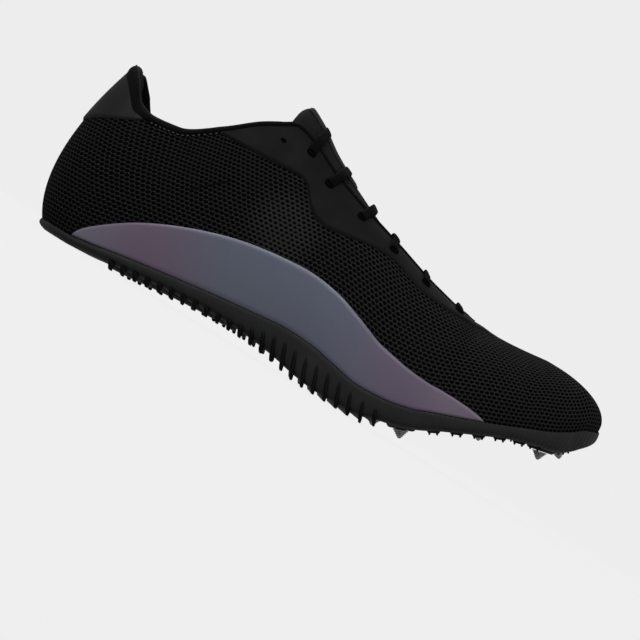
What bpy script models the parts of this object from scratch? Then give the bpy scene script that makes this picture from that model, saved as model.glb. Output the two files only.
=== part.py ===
"""Track spike shoe for the right foot, standing empty on its heel and its middle ribs.

+X runs to the toe, +Y to the medial side and +Z up, in metres. Along the shoe, x is measured
from the back of the heel. The tables give each section as shares of the named sizes. At the
end everything hangs on one empty, which tips the shoe onto the floor and brings the origin
under the middle of its box.
"""
import math
from collections import namedtuple

import bmesh
import bpy
import numpy as np
from mathutils import Matrix, Vector

# Main sizes
SHOE_LENGTH = 0.285
HEEL_OVERHANG = 0.007
BALL_WIDTH = 0.092
WAIST_WIDTH = 0.059
HEEL_WIDTH = 0.062
TOE_SWING = 0.010

# Heights of the upper above the floor
HEEL_HEIGHT = 0.088
COLLAR_HEIGHT = 0.0683
THROAT_HEIGHT = 0.098
VAMP_HEIGHT = 0.0636
TOE_HEIGHT = 0.0652

# Openings of the upper
COLLAR_WIDTH = 0.050
THROAT_WIDTH = 0.033
THROAT_FRONT = 0.72
TOE_POLE = 0.859

# Walls and gaps
UPPER_WALL = 0.0016
COLLAR_PADDING = 0.0042
OVERLAY_THICKNESS = 0.0006
GAP = 0.0003

# Sole
SOLE_LIP = 0.001
SOLE_BULGE = 0.0004
SOLE_UNDERCUT = 0.0006
EDGE_ROUND = 0.001
BOTTOM_INSET = 0.0016
PLATE_THICKNESS = 0.0024
LAND_WIDTH = 0.0032
BED_INSET = 0.005
HEEL_EDGE = 0.0045
CREST_EDGE = 0.0156
DIP_EDGE = 0.0098
TOE_EDGE = 0.050
ARCH_RISE = 0.0052
BELLY_DROP = 0.0014
TOE_SPRING = 0.0292

# Cross ribs of the sole
RIB_COUNT = 22
RIB_START = 0.196 * SHOE_LENGTH
RIB_END = 0.644 * SHOE_LENGTH
RIB_HEIGHT = 0.0017
RIB_HEEL_WIDTH = 0.0032
RIB_WAIST_WIDTH = 0.0018
RIB_DRAFT = 0.0005
RIB_SIDE_HEIGHT = 0.0009
SIDE_RIB_START = 0.393 * SHOE_LENGTH

# The lowest rib, which stands on the floor with its two neighbours, and the floor seen from the
# shoe: a slope down from the heel to this rib
BELLY_RIB = 18
BELLY_X = RIB_START + (RIB_END - RIB_START) * BELLY_RIB / (RIB_COUNT - 1)
REST_SLOPE = (BELLY_DROP + RIB_HEIGHT) / BELLY_X

# Pins, their seats and the edge teeth
PIN_LENGTH = 0.0054
PIN_FLANGE_RADIUS = 0.0034
PIN_TIP_RADIUS = 0.0006
PIN_SIDES = 8
SEAT_RADIUS = 0.0055
SEAT_HEIGHT = 0.0012
SEAT_ROOT = 0.0010
TOOTH_LENGTH = 0.0042
TOOTH_WIDTH = 0.0030
TOOTH_HEIGHT = 0.0018
TOOTH_ROOT = 0.0012
TOOTH_PITCH = 0.0110
TOOTH_START = 0.725 * SHOE_LENGTH
TOOTH_END = 0.961 * SHOE_LENGTH
TOOTH_INSET = 0.0048

# Insole
INSOLE_THICKNESS = 0.0040
INSOLE_CLEARANCE = 0.0004
INSOLE_CHAMFER = 0.0008

# Tongue
TONGUE_THICKNESS = 0.0035
TONGUE_CLEARANCE = 0.0011
TONGUE_OVERLAP = 0.0060
TONGUE_CROWN = 0.0150
TONGUE_BACK_X = 0.3035 * SHOE_LENGTH
TONGUE_FRONT_X = 0.740 * SHOE_LENGTH
TONGUE_ROUND = 0.0040

# Laces and eyelets
LACE_WIDTH = 0.0046
LACE_THICKNESS = 0.0011
LACE_LIFT = 0.0009
EYELET_INSET = 0.0068

# Shares of a section's curve between which the lines across the throat follow the wall, in
# steps, and the share of the throat's half width under which it counts as closed
RIM_SHARE = 0.998
DEEP_SHARE = 0.55
WALL_STEPS = 46
CLOSED_SHARE = 0.3
COLLAR_END = 0.28

# Guard panels along the sole line
PANEL_START = 0.105 * SHOE_LENGTH
PANEL_END = 0.793 * SHOE_LENGTH
PANEL_HEIGHT = 0.027
PANEL_FOOT = 0.0022

HALF_HEEL = HEEL_WIDTH / 2
HALF_WAIST = WAIST_WIDTH / 2
HALF_BALL = BALL_WIDTH / 2
HALF_COLLAR = COLLAR_WIDTH / 2
HALF_THROAT = THROAT_WIDTH / 2
SOLE_RUN = SHOE_LENGTH - HEEL_OVERHANG - SOLE_LIP - SOLE_BULGE
LATERAL = -1
MEDIAL = 1

# The plan of the sole: half width, and how far its middle swings to the medial side
Plan = namedtuple("Plan", "along half swing")
PLAN = [
    Plan(0.000, 0.00 * HALF_HEEL, 0.00 * TOE_SWING),
    Plan(0.014, 0.47 * HALF_HEEL, 0.00 * TOE_SWING),
    Plan(0.050, 0.84 * HALF_HEEL, -0.03 * TOE_SWING),
    Plan(0.110, 0.99 * HALF_HEEL, -0.08 * TOE_SWING),
    Plan(0.170, 1.00 * HALF_HEEL, -0.10 * TOE_SWING),
    Plan(0.300, 1.00 * HALF_WAIST, -0.18 * TOE_SWING),
    Plan(0.450, 1.06 * HALF_WAIST, -0.20 * TOE_SWING),
    Plan(0.578, 0.86 * HALF_BALL, -0.15 * TOE_SWING),
    Plan(0.668, 0.98 * HALF_BALL, -0.05 * TOE_SWING),
    Plan(0.750, 1.00 * HALF_BALL, 0.08 * TOE_SWING),
    Plan(0.848, 0.88 * HALF_BALL, 0.38 * TOE_SWING),
    Plan(0.920, 0.70 * HALF_BALL, 0.66 * TOE_SWING),
    Plan(0.975, 0.43 * HALF_BALL, 0.88 * TOE_SWING),
    Plan(1.000, 0.00 * HALF_BALL, 1.00 * TOE_SWING),
]

# The wavy top edge of the sole, where the upper sits
Edge = namedtuple("Edge", "along height")
SOLE_EDGE = [
    Edge(0.000, 1.00 * HEEL_EDGE),
    Edge(0.041, 0.76 * HEEL_EDGE),
    Edge(0.076, 0.70 * HEEL_EDGE),
    Edge(0.110, 0.26 * CREST_EDGE),
    Edge(0.180, 0.45 * CREST_EDGE),
    Edge(0.250, 0.62 * CREST_EDGE),
    Edge(0.320, 0.78 * CREST_EDGE),
    Edge(0.390, 0.91 * CREST_EDGE),
    Edge(0.455, 1.00 * CREST_EDGE),
    Edge(0.500, 0.95 * CREST_EDGE),
    Edge(0.543, 0.80 * CREST_EDGE),
    Edge(0.597, 1.00 * DIP_EDGE),
    Edge(0.637, 1.05 * DIP_EDGE),
    Edge(0.680, 1.28 * DIP_EDGE),
    Edge(0.710, 0.31 * TOE_EDGE),
    Edge(0.790, 0.47 * TOE_EDGE),
    Edge(0.863, 0.63 * TOE_EDGE),
    Edge(0.903, 0.72 * TOE_EDGE),
    Edge(0.937, 0.82 * TOE_EDGE),
    Edge(0.960, 0.90 * TOE_EDGE),
    Edge(1.000, 1.00 * TOE_EDGE),
]

# The underside of the plate along the shoe, without ribs
Under = namedtuple("Under", "x height")
UNDERSIDE = [
    Under(0.000 * SHOE_LENGTH, 0.0),
    Under(0.100 * SHOE_LENGTH, -0.100 * SHOE_LENGTH * REST_SLOPE),
    Under(0.145 * SHOE_LENGTH, 0.12 * ARCH_RISE),
    Under(0.176 * SHOE_LENGTH, 0.29 * ARCH_RISE),
    Under(0.212 * SHOE_LENGTH, 0.46 * ARCH_RISE),
    Under(0.252 * SHOE_LENGTH, 0.67 * ARCH_RISE),
    Under(0.288 * SHOE_LENGTH, 0.85 * ARCH_RISE),
    Under(0.345 * SHOE_LENGTH, 1.00 * ARCH_RISE),
    Under(0.385 * SHOE_LENGTH, 0.98 * ARCH_RISE),
    Under(0.425 * SHOE_LENGTH, 0.83 * ARCH_RISE),
    Under(0.467 * SHOE_LENGTH, 0.52 * ARCH_RISE),
    Under(0.505 * SHOE_LENGTH, 0.08 * ARCH_RISE),
    Under(0.530 * SHOE_LENGTH, -0.50 * BELLY_DROP),
    Under(0.550 * SHOE_LENGTH, -0.91 * BELLY_DROP),
    Under(BELLY_X, -1.06 * BELLY_DROP),
    Under(0.608 * SHOE_LENGTH, -1.13 * BELLY_DROP),
    Under(0.630 * SHOE_LENGTH, -0.18 * BELLY_DROP),
    Under(0.657 * SHOE_LENGTH, 0.07 * TOE_SPRING),
    Under(0.677 * SHOE_LENGTH, 0.11 * TOE_SPRING),
    Under(0.705 * SHOE_LENGTH, 0.20 * TOE_SPRING),
    Under(0.749 * SHOE_LENGTH, 0.41 * TOE_SPRING),
    Under(0.787 * SHOE_LENGTH, 0.60 * TOE_SPRING),
    Under(0.853 * SHOE_LENGTH, 0.86 * TOE_SPRING),
    Under(0.893 * SHOE_LENGTH, 0.94 * TOE_SPRING),
    Under(0.935 * SHOE_LENGTH, 1.00 * TOE_SPRING),
    Under(0.956 * SHOE_LENGTH, 1.11 * TOE_SPRING),
    Under(0.976 * SHOE_LENGTH, 1.26 * TOE_SPRING),
    Under(1.000 * SHOE_LENGTH, 1.50 * TOE_SPRING),
]

# The bed inside, as the underside would run without the belly under the waist
BED = [
    Under(0.000 * SHOE_LENGTH, 0.0),
    Under(0.145 * SHOE_LENGTH, 0.14 * ARCH_RISE),
    Under(0.212 * SHOE_LENGTH, 0.50 * ARCH_RISE),
    Under(0.288 * SHOE_LENGTH, 0.90 * ARCH_RISE),
    Under(0.360 * SHOE_LENGTH, 1.08 * ARCH_RISE),
    Under(0.425 * SHOE_LENGTH, 0.98 * ARCH_RISE),
    Under(0.505 * SHOE_LENGTH, 0.62 * ARCH_RISE),
    Under(0.590 * SHOE_LENGTH, 0.48 * ARCH_RISE),
    Under(0.657 * SHOE_LENGTH, 0.10 * TOE_SPRING),
    Under(0.705 * SHOE_LENGTH, 0.21 * TOE_SPRING),
    Under(0.749 * SHOE_LENGTH, 0.41 * TOE_SPRING),
    Under(0.787 * SHOE_LENGTH, 0.60 * TOE_SPRING),
    Under(0.853 * SHOE_LENGTH, 0.86 * TOE_SPRING),
    Under(0.893 * SHOE_LENGTH, 0.95 * TOE_SPRING),
    Under(0.935 * SHOE_LENGTH, 1.03 * TOE_SPRING),
    Under(0.956 * SHOE_LENGTH, 1.13 * TOE_SPRING),
    Under(0.976 * SHOE_LENGTH, 1.27 * TOE_SPRING),
    Under(1.000 * SHOE_LENGTH, 1.50 * TOE_SPRING),
]

# One row for each section of the upper. Its wall is a smooth curve from the sole's edge up to
# the collar, the throat or the ridge of the vamp: belly and rise shape its foot, run and drop
# its head.
Section = namedtuple("Section", "along top_x top_half top_z belly rise run drop")
SECTIONS = [
    Section(0.000, 0.037 * SHOE_LENGTH, 0.00 * HALF_COLLAR, 1.000 * HEEL_HEIGHT,
            0.39 * HALF_HEEL, 0.21 * HEEL_HEIGHT, 0.37 * HALF_HEEL, 0.38 * HEEL_HEIGHT),
    Section(0.014, 0.042 * SHOE_LENGTH, 0.30 * HALF_COLLAR, 0.996 * HEEL_HEIGHT,
            0.37 * HALF_HEEL, 0.21 * HEEL_HEIGHT, 0.36 * HALF_HEEL, 0.37 * HEEL_HEIGHT),
    Section(0.050, 0.065 * SHOE_LENGTH, 0.66 * HALF_COLLAR, 0.905 * HEEL_HEIGHT,
            0.30 * HALF_HEEL, 0.21 * HEEL_HEIGHT, 0.32 * HALF_HEEL, 0.32 * HEEL_HEIGHT),
    Section(0.080, 0.090 * SHOE_LENGTH, 0.85 * HALF_COLLAR, 1.030 * COLLAR_HEIGHT,
            0.25 * HALF_HEEL, 0.27 * COLLAR_HEIGHT, 0.29 * HALF_HEEL, 0.34 * COLLAR_HEIGHT),
    Section(0.112, 0.118 * SHOE_LENGTH, 0.95 * HALF_COLLAR, 1.000 * COLLAR_HEIGHT,
            0.22 * HALF_HEEL, 0.28 * COLLAR_HEIGHT, 0.28 * HALF_HEEL, 0.30 * COLLAR_HEIGHT),
    Section(0.160, 0.161 * SHOE_LENGTH, 1.00 * HALF_COLLAR, 1.018 * COLLAR_HEIGHT,
            0.20 * HALF_HEEL, 0.30 * COLLAR_HEIGHT, 0.28 * HALF_HEEL, 0.30 * COLLAR_HEIGHT),
    Section(0.220, 0.219 * SHOE_LENGTH, 1.00 * HALF_COLLAR, 0.812 * THROAT_HEIGHT,
            0.20 * HALF_HEEL, 0.25 * THROAT_HEIGHT, 0.32 * HALF_HEEL, 0.23 * THROAT_HEIGHT),
    Section(0.270, 0.265 * SHOE_LENGTH, 0.93 * HALF_COLLAR, 0.920 * THROAT_HEIGHT,
            0.22 * HALF_WAIST, 0.28 * THROAT_HEIGHT, 0.36 * HALF_WAIST, 0.26 * THROAT_HEIGHT),
    Section(0.305, 0.295 * SHOE_LENGTH, 0.82 * HALF_COLLAR, 0.975 * THROAT_HEIGHT,
            0.23 * HALF_WAIST, 0.30 * THROAT_HEIGHT, 0.40 * HALF_WAIST, 0.28 * THROAT_HEIGHT),
    Section(0.335, 0.319 * SHOE_LENGTH, 1.10 * HALF_THROAT, 1.000 * THROAT_HEIGHT,
            0.24 * HALF_WAIST, 0.31 * THROAT_HEIGHT, 0.43 * HALF_WAIST, 0.27 * THROAT_HEIGHT),
    Section(0.360, 0.350 * SHOE_LENGTH, 1.04 * HALF_THROAT, 0.965 * THROAT_HEIGHT,
            0.24 * HALF_WAIST, 0.31 * THROAT_HEIGHT, 0.48 * HALF_WAIST, 0.22 * THROAT_HEIGHT),
    Section(0.400, 0.397 * SHOE_LENGTH, 1.00 * HALF_THROAT, 0.893 * THROAT_HEIGHT,
            0.24 * HALF_WAIST, 0.29 * THROAT_HEIGHT, 0.52 * HALF_WAIST, 0.16 * THROAT_HEIGHT),
    Section(0.460, 0.461 * SHOE_LENGTH, 0.98 * HALF_THROAT, 0.828 * THROAT_HEIGHT,
            0.24 * HALF_WAIST, 0.27 * THROAT_HEIGHT, 0.60 * HALF_WAIST, 0.12 * THROAT_HEIGHT),
    Section(0.550, 0.554 * SHOE_LENGTH, 0.93 * HALF_THROAT, 0.755 * THROAT_HEIGHT,
            0.14 * HALF_BALL, 0.27 * THROAT_HEIGHT, 0.45 * HALF_BALL, 0.07 * THROAT_HEIGHT),
    Section(0.630, 0.638 * SHOE_LENGTH, 0.82 * HALF_THROAT, 1.072 * VAMP_HEIGHT,
            0.11 * HALF_BALL, 0.39 * VAMP_HEIGHT, 0.52 * HALF_BALL, 0.06 * VAMP_HEIGHT),
    Section(0.680, 0.694 * SHOE_LENGTH, 0.60 * HALF_THROAT, 1.022 * VAMP_HEIGHT,
            0.10 * HALF_BALL, 0.39 * VAMP_HEIGHT, 0.59 * HALF_BALL, 0.02 * VAMP_HEIGHT),
    Section(THROAT_FRONT, 0.725 * SHOE_LENGTH, 0.00 * HALF_THROAT, 1.000 * VAMP_HEIGHT,
            0.09 * HALF_BALL, 0.37 * VAMP_HEIGHT, 0.67 * HALF_BALL, 0.00 * VAMP_HEIGHT),
    Section(0.780, 0.779 * SHOE_LENGTH, 0.00 * HALF_THROAT, 1.000 * VAMP_HEIGHT,
            0.08 * HALF_BALL, 0.34 * VAMP_HEIGHT, 0.64 * HALF_BALL, 0.00 * VAMP_HEIGHT),
    Section(TOE_POLE, 0.858 * SHOE_LENGTH, 0.00 * HALF_THROAT, 1.000 * TOE_HEIGHT,
            0.07 * HALF_BALL, 0.29 * TOE_HEIGHT, 0.52 * HALF_BALL, 0.00 * TOE_HEIGHT),
    Section(1.000, 0.858 * SHOE_LENGTH, 0.00 * HALF_THROAT, 1.000 * TOE_HEIGHT,
            0.04 * HALF_BALL, 0.14 * TOE_HEIGHT, 0.52 * HALF_BALL, 0.00 * TOE_HEIGHT),
]

# How far the tongue stands above the throat's edges, along the throat
Crown = namedtuple("Crown", "x rise")
TONGUE_CROWNS = [
    Crown(0.295 * SHOE_LENGTH, 1.00 * TONGUE_CROWN),
    Crown(0.360 * SHOE_LENGTH, 0.92 * TONGUE_CROWN),
    Crown(0.404 * SHOE_LENGTH, 0.74 * TONGUE_CROWN),
    Crown(0.470 * SHOE_LENGTH, 0.46 * TONGUE_CROWN),
    Crown(0.550 * SHOE_LENGTH, 0.27 * TONGUE_CROWN),
    Crown(0.632 * SHOE_LENGTH, 0.12 * TONGUE_CROWN),
    Crown(0.760 * SHOE_LENGTH, 0.00 * TONGUE_CROWN),
]

# Side view outline of the film round the throat, from the collar forward along its lower edge
Corner = namedtuple("Corner", "x z")
EYESTAY_EDGE = [
    Corner(0.200 * SHOE_LENGTH, 0.775 * THROAT_HEIGHT),
    Corner(0.268 * SHOE_LENGTH, 0.777 * THROAT_HEIGHT),
    Corner(0.325 * SHOE_LENGTH, 0.786 * THROAT_HEIGHT),
    Corner(0.366 * SHOE_LENGTH, 0.793 * THROAT_HEIGHT),
    Corner(0.380 * SHOE_LENGTH, 0.778 * THROAT_HEIGHT),
    Corner(0.410 * SHOE_LENGTH, 0.672 * THROAT_HEIGHT),
    Corner(0.422 * SHOE_LENGTH, 0.650 * THROAT_HEIGHT),
    Corner(0.441 * SHOE_LENGTH, 0.646 * THROAT_HEIGHT),
    Corner(0.485 * SHOE_LENGTH, 0.667 * THROAT_HEIGHT),
    Corner(0.536 * SHOE_LENGTH, 0.684 * THROAT_HEIGHT),
    Corner(0.569 * SHOE_LENGTH, 0.667 * THROAT_HEIGHT),
    Corner(0.600 * SHOE_LENGTH, 0.974 * VAMP_HEIGHT),
    Corner(0.628 * SHOE_LENGTH, 0.942 * VAMP_HEIGHT),
    Corner(0.700 * SHOE_LENGTH, 0.950 * VAMP_HEIGHT),
    Corner(0.765 * SHOE_LENGTH, 0.985 * VAMP_HEIGHT),
]
HEEL_TAB_SEAM = [
    Corner(-0.030 * SHOE_LENGTH, 0.507 * HEEL_HEIGHT),
    Corner(0.030 * SHOE_LENGTH, 0.582 * HEEL_HEIGHT),
    Corner(0.150 * SHOE_LENGTH, 0.846 * HEEL_HEIGHT),
]

# Rows of the lace, at the edge of the throat
LACE_ROWS = [share * SHOE_LENGTH for share in (0.363, 0.418, 0.484, 0.556, 0.625, 0.689)]

# Pins under the forefoot: x, the share of the half width, and the length from the plate
Pin = namedtuple("Pin", "name x across side length")
PINS = [
    Pin("pin_ball_lateral", 0.694 * SHOE_LENGTH, 0.64, LATERAL, 1.00 * PIN_LENGTH),
    Pin("pin_ball_medial", 0.668 * SHOE_LENGTH, 0.64, MEDIAL, 0.90 * PIN_LENGTH),
    Pin("pin_front_lateral", 0.911 * SHOE_LENGTH, 0.60, LATERAL, 1.00 * PIN_LENGTH),
    Pin("pin_front_medial", 0.838 * SHOE_LENGTH, 0.64, MEDIAL, 1.00 * PIN_LENGTH),
    Pin("pin_toe", 0.957 * SHOE_LENGTH, 0.22, MEDIAL, 1.00 * PIN_LENGTH),
]

# Stepped outline of a pin: share of its length from the flange, share of the flange radius
PIN_STEPS = [(0.00, 1.00), (0.16, 1.00), (0.26, 0.74), (0.44, 0.62), (0.48, 0.50),
             (0.66, 0.42), (0.70, 0.32)]

# Colours
MESH_BLACK = (0.018, 0.018, 0.019)
FILM_GREY = (0.024, 0.024, 0.025)
PLATE_GREY = (0.026, 0.026, 0.028)
LINING_BLACK = (0.012, 0.012, 0.012)
PANEL_MAUVE = (0.17, 0.14, 0.22)
TONGUE_GREY = (0.030, 0.030, 0.031)
LACE_BLACK = (0.006, 0.006, 0.007)
PIN_STEEL = (0.42, 0.42, 0.43)


def smooth_through(xs, ys):
    """Return a smooth curve through points that never overshoots them."""
    xs = np.asarray(xs, float)
    ys = np.asarray(ys, float)
    step = np.diff(xs)
    rate = np.diff(ys) / step
    slope = np.zeros(len(xs))
    slope[0] = rate[0]
    slope[-1] = rate[-1]
    for i in range(1, len(xs) - 1):
        if rate[i - 1] * rate[i] > 0:
            before = 2 * step[i] + step[i - 1]
            after = step[i] + 2 * step[i - 1]
            slope[i] = (before + after) / (before / rate[i - 1] + after / rate[i])

    def value(x):
        x = float(np.clip(x, xs[0], xs[-1]))
        i = int(np.clip(np.searchsorted(xs, x, side="right") - 1, 0, len(xs) - 2))
        t = (x - xs[i]) / step[i]
        return float(ys[i] * (1 + 2 * t) * (1 - t) ** 2 + step[i] * slope[i] * t * (1 - t) ** 2
                     + ys[i + 1] * t * t * (3 - 2 * t) + step[i] * slope[i + 1] * t * t * (t - 1))

    return value


def turn(along):
    """Return the angle round the sole's outline for a share of its length."""
    return math.acos(1 - 2 * min(max(along, 0.0), 1.0))


def column(rows, name):
    """Return one column of a table as a smooth function of the share along the sole."""
    curve = smooth_through([turn(row.along) for row in rows], [getattr(row, name) for row in rows])
    return lambda along: curve(turn(along))


half_width = column(PLAN, "half")
swing = column(PLAN, "swing")
edge_height = column(SOLE_EDGE, "height")
under_curve = smooth_through([row.x for row in UNDERSIDE], [row.height for row in UNDERSIDE])
bed_height = smooth_through([row.x for row in BED], [row.height for row in BED])
crown_rise = smooth_through([row.x for row in TONGUE_CROWNS], [row.rise for row in TONGUE_CROWNS])
section = {name: column(SECTIONS, name) for name in Section._fields[1:]}
HEEL_POLE = HALF_HEEL / SOLE_RUN


def under_height(x):
    """Return the underside of the plate at x, with its ribs never below the floor."""
    stand = RIB_HEIGHT if x > RIB_START else 0.0
    return max(under_curve(x), stand - REST_SLOPE * x)


def foot_x(along):
    """Return x of a share of the sole's length."""
    return HEEL_OVERHANG + along * SOLE_RUN


def share_at(x):
    """Return the share of the sole's length at x."""
    return (x - HEEL_OVERHANG) / SOLE_RUN


def spine_point(along):
    """Return the point on the sole's middle line that a section turns or stands on."""
    held = min(max(along, HEEL_POLE), TOE_POLE)
    return Vector((foot_x(held), swing(held), 0.0))


def outline_point(along, side):
    """Return a point of the sole's outline in plan."""
    return Vector((foot_x(along), swing(along) + side * half_width(along), 0.0))


def outward(along, side):
    """Return the level direction from the middle line out to the outline."""
    return (outline_point(along, side) - spine_point(along)).normalized()


def ring_point(along, side, inset, height=None, level=under_height):
    """Return a point inside the outline, at a height or on the underside."""
    point = outline_point(along, side) - outward(along, side) * inset
    point.z = level(point.x) if height is None else height
    return point


def fan_ring(along, side, inset, above, level=under_height, heel_end=0.0):
    """Return points between a ring and the middle line, which follow the curve along the shoe.

    They spread over the fan of sections at the toe, and at the heel up to heel_end. Between the
    two the underside is level across, so there they fall on the ring itself.
    """
    edge = ring_point(along, side, inset, level=level)
    middle = spine_point(along)
    points = []
    for share in (0.25, 0.50, 0.75):
        spread = along > TOE_POLE or along < heel_end
        point = edge.lerp(middle, share) if spread else edge.copy()
        point.z = level(point.x) + above
        points.append(point)
    return points


def top_half(along):
    """Return half the opening at the top of a section, nothing on the vamp."""
    return section["top_half"](along) if along < THROAT_FRONT else 0.0


def skin_point(along, side, t):
    """Return a point of the upper's outer face, from the sole's edge at 0 to the top at 1."""
    foot = outline_point(along, side)
    foot.z = edge_height(along)
    held = min(along, TOE_POLE)
    top_x = section["top_x"](along) if along < TOE_POLE else foot_x(TOE_POLE)
    top = Vector((top_x, swing(held) + side * top_half(along), section["top_z"](along)))
    out = outward(along, side)
    lean = Vector((top.x - foot.x, top.y - foot.y, 0.0))
    lean -= out * lean.dot(out)
    height = top.z - foot.z
    rise = section["rise"](along)
    drop = section["drop"](along)
    low = foot + out * section["belly"](along) + lean * (rise / height)
    low.z += rise
    high = top + out * section["run"](along) - lean * (drop / height)
    high.z -= drop
    s = 1 - t
    return foot * s ** 3 + low * 3 * s * s * t + high * 3 * s * t * t + top * t ** 3


def skin_normal(along, side, t):
    """Return the outward normal of the upper's outer face, away from its ends."""
    step = 0.002
    across = skin_point(along + step, side, t) - skin_point(along - step, side, t)
    up = skin_point(along, side, min(t + step, 1.0)) - skin_point(along, side, t - step)
    return (across.cross(up) * side * -1).normalized()


def turned_shares(start, end, count):
    """Return shares from start to end, evenly round the outline."""
    angles = np.linspace(turn(start), turn(end), count + 1)
    return [(1 - math.cos(angle)) / 2 for angle in angles]


class Builder:
    """Collects faces whose corners are shared by place, and makes an object of them."""

    def __init__(self):
        self.points = []
        self.faces = []
        self.index = {}

    def corner(self, point):
        """Return the number of the corner at a point."""
        key = tuple(round(value, 7) for value in point)
        if key not in self.index:
            self.index[key] = len(self.points)
            self.points.append(tuple(point))
        return self.index[key]

    def face(self, points):
        """Add a face, leaving out corners that coincide."""
        corners = []
        for point in points:
            number = self.corner(point)
            if number not in corners:
                corners.append(number)
        if len(corners) > 2:
            self.faces.append(corners)

    def strip(self, first, second, flip, diagonal=0):
        """Join two rows of points with faces, split along their first or second diagonal."""
        for i in range(len(first) - 1):
            a, b, c, d = first[i], first[i + 1], second[i + 1], second[i]
            pieces = {0: [(a, b, c, d)], 1: [(a, b, c), (a, c, d)], 2: [(a, b, d), (b, c, d)]}
            for piece in pieces[diagonal]:
                self.face(piece[::-1] if flip else piece)

    def mesh(self, name):
        """Return the collected faces as a mesh."""
        mesh = bpy.data.meshes.new(name)
        mesh.from_pydata(self.points, [], self.faces)
        mesh.validate()
        return mesh


def material(name, colour, roughness, metallic=0.0):
    """Return a plain material."""
    made = bpy.data.materials.new(name)
    made.use_nodes = True
    shader = made.node_tree.nodes["Principled BSDF"]
    shader.inputs["Base Color"].default_value = (*colour, 1.0)
    shader.inputs["Roughness"].default_value = roughness
    shader.inputs["Metallic"].default_value = metallic
    return made


def add_object(name, mesh, surface, smooth=35):
    """Link a mesh as an object with its own material, hung on the shoe's empty."""
    made = bpy.data.objects.new(name, mesh)
    bpy.context.scene.collection.objects.link(made)
    made.data.materials.append(surface)
    made.data.shade_smooth()
    made.data.set_sharp_from_angle(angle=math.radians(smooth))
    made.parent = bpy.data.objects["shoe"]
    return made


def add_cutter(name, mesh):
    """Link a mesh that only shapes others."""
    made = bpy.data.objects.new(name, mesh)
    bpy.context.scene.collection.objects.link(made)
    made.hide_render = True
    made.display_type = "WIRE"
    made.parent = bpy.data.objects["shoe"]
    return made


def cut(target, name, operation, cutter):
    """Add a Boolean to an object."""
    step = target.modifiers.new(name, "BOOLEAN")
    step.operation = operation
    step.solver = "EXACT"
    step.object = cutter


def thicken(target, thickness, offset):
    """Give a sheet its wall: offset -1 grows it inward and 1 outward."""
    step = target.modifiers.new("wall", "SOLIDIFY")
    step.thickness = thickness
    step.offset = offset
    step.use_even_offset = True
    return step


def skin_columns():
    """Return the shares along the sole at which the upper's sections stand."""
    heel = turned_shares(0.0, HEEL_POLE, 6)
    quarter = list(np.linspace(HEEL_POLE, THROAT_FRONT, 19))[1:]
    vamp = list(np.linspace(THROAT_FRONT, TOE_POLE, 6))[1:]
    toe = turned_shares(TOE_POLE, 1.0, 7)[1:]
    return heel + quarter + vamp + toe


def skin_mesh(name):
    """Return the upper's outer face as a sheet of triangles."""
    rows = 11
    builder = Builder()
    shares = skin_columns()
    for side in (LATERAL, MEDIAL):
        lines = [[skin_point(along, side, t) for t in np.linspace(0, 1, rows)] for along in shares]
        for first, second in zip(lines, lines[1:]):
            builder.strip(first, second, side == LATERAL, diagonal=1)
    return builder.mesh(name)


def lifted_skin(name, lift):
    """Return the upper's outer face moved out along its corners' normals."""
    mesh = skin_mesh(name)
    sheet = bmesh.new()
    sheet.from_mesh(mesh)
    sheet.normal_update()
    moves = [(vert, vert.normal * lift) for vert in sheet.verts]
    for vert, move in moves:
        vert.co += move
    sheet.to_mesh(mesh)
    sheet.free()
    return mesh


def wall_share(point):
    """Return the wall there as a share of the padded collar's wall."""
    plain = UPPER_WALL / COLLAR_PADDING
    collar = min(max((point.z / COLLAR_HEIGHT - 0.62) / 0.30, 0.0), 1.0)
    heel = min(max((0.33 * SHOE_LENGTH - point.x) / (0.12 * SHOE_LENGTH), 0.0), 1.0)
    pad = collar * collar * (3 - 2 * collar) * heel * heel * (3 - 2 * heel)
    return plain + (1 - plain) * pad


def build_upper():
    """Make the upper: one wall, open at the collar, the throat and underneath."""
    upper = add_object("upper", skin_mesh("upper"), material("upper mesh", MESH_BLACK, 0.85))
    group = upper.vertex_groups.new(name="wall")
    for vert in upper.data.vertices:
        group.add([vert.index], wall_share(vert.co), "REPLACE")
    step = thicken(upper, COLLAR_PADDING, -1)
    step.vertex_group = "wall"
    step.thickness_vertex_group = 0.0
    step.use_even_offset = False
    return upper


def prism(name, corners, low_y, high_y):
    """Return a closed prism across the shoe with a side view outline."""
    sheet = bmesh.new()
    verts = [sheet.verts.new((x, low_y, z)) for x, z in corners]
    face = sheet.faces.new(verts)
    grown = bmesh.ops.extrude_face_region(sheet, geom=[face])
    for item in grown["geom"]:
        if isinstance(item, bmesh.types.BMVert):
            item.co.y = high_y
    bmesh.ops.recalc_face_normals(sheet, faces=sheet.faces)
    mesh = bpy.data.meshes.new(name)
    sheet.to_mesh(mesh)
    sheet.free()
    return mesh


def build_overlay(name, corners, low_y, high_y, surface):
    """Make a film that lies on the upper inside a side view outline."""
    film = add_object(name, lifted_skin(name, GAP), surface)
    thicken(film, OVERLAY_THICKNESS, 1)
    cut(film, "outline", "INTERSECT", add_cutter(name + "_outline", prism(name, corners, low_y, high_y)))
    return film


def eyestay_corners():
    """Return the side view outline of the film round the throat."""
    crown = 1.5 * THROAT_HEIGHT
    edge = [(row.x, row.z) for row in EYESTAY_EDGE]
    return edge + [(edge[-1][0], crown), (edge[0][0], crown)]


def heel_tab_corners():
    """Return the side view outline of the film on the heel."""
    crown = 1.5 * HEEL_HEIGHT
    edge = [(row.x, row.z) for row in HEEL_TAB_SEAM]
    return edge + [(edge[-1][0], crown), (edge[0][0], crown)]


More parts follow.
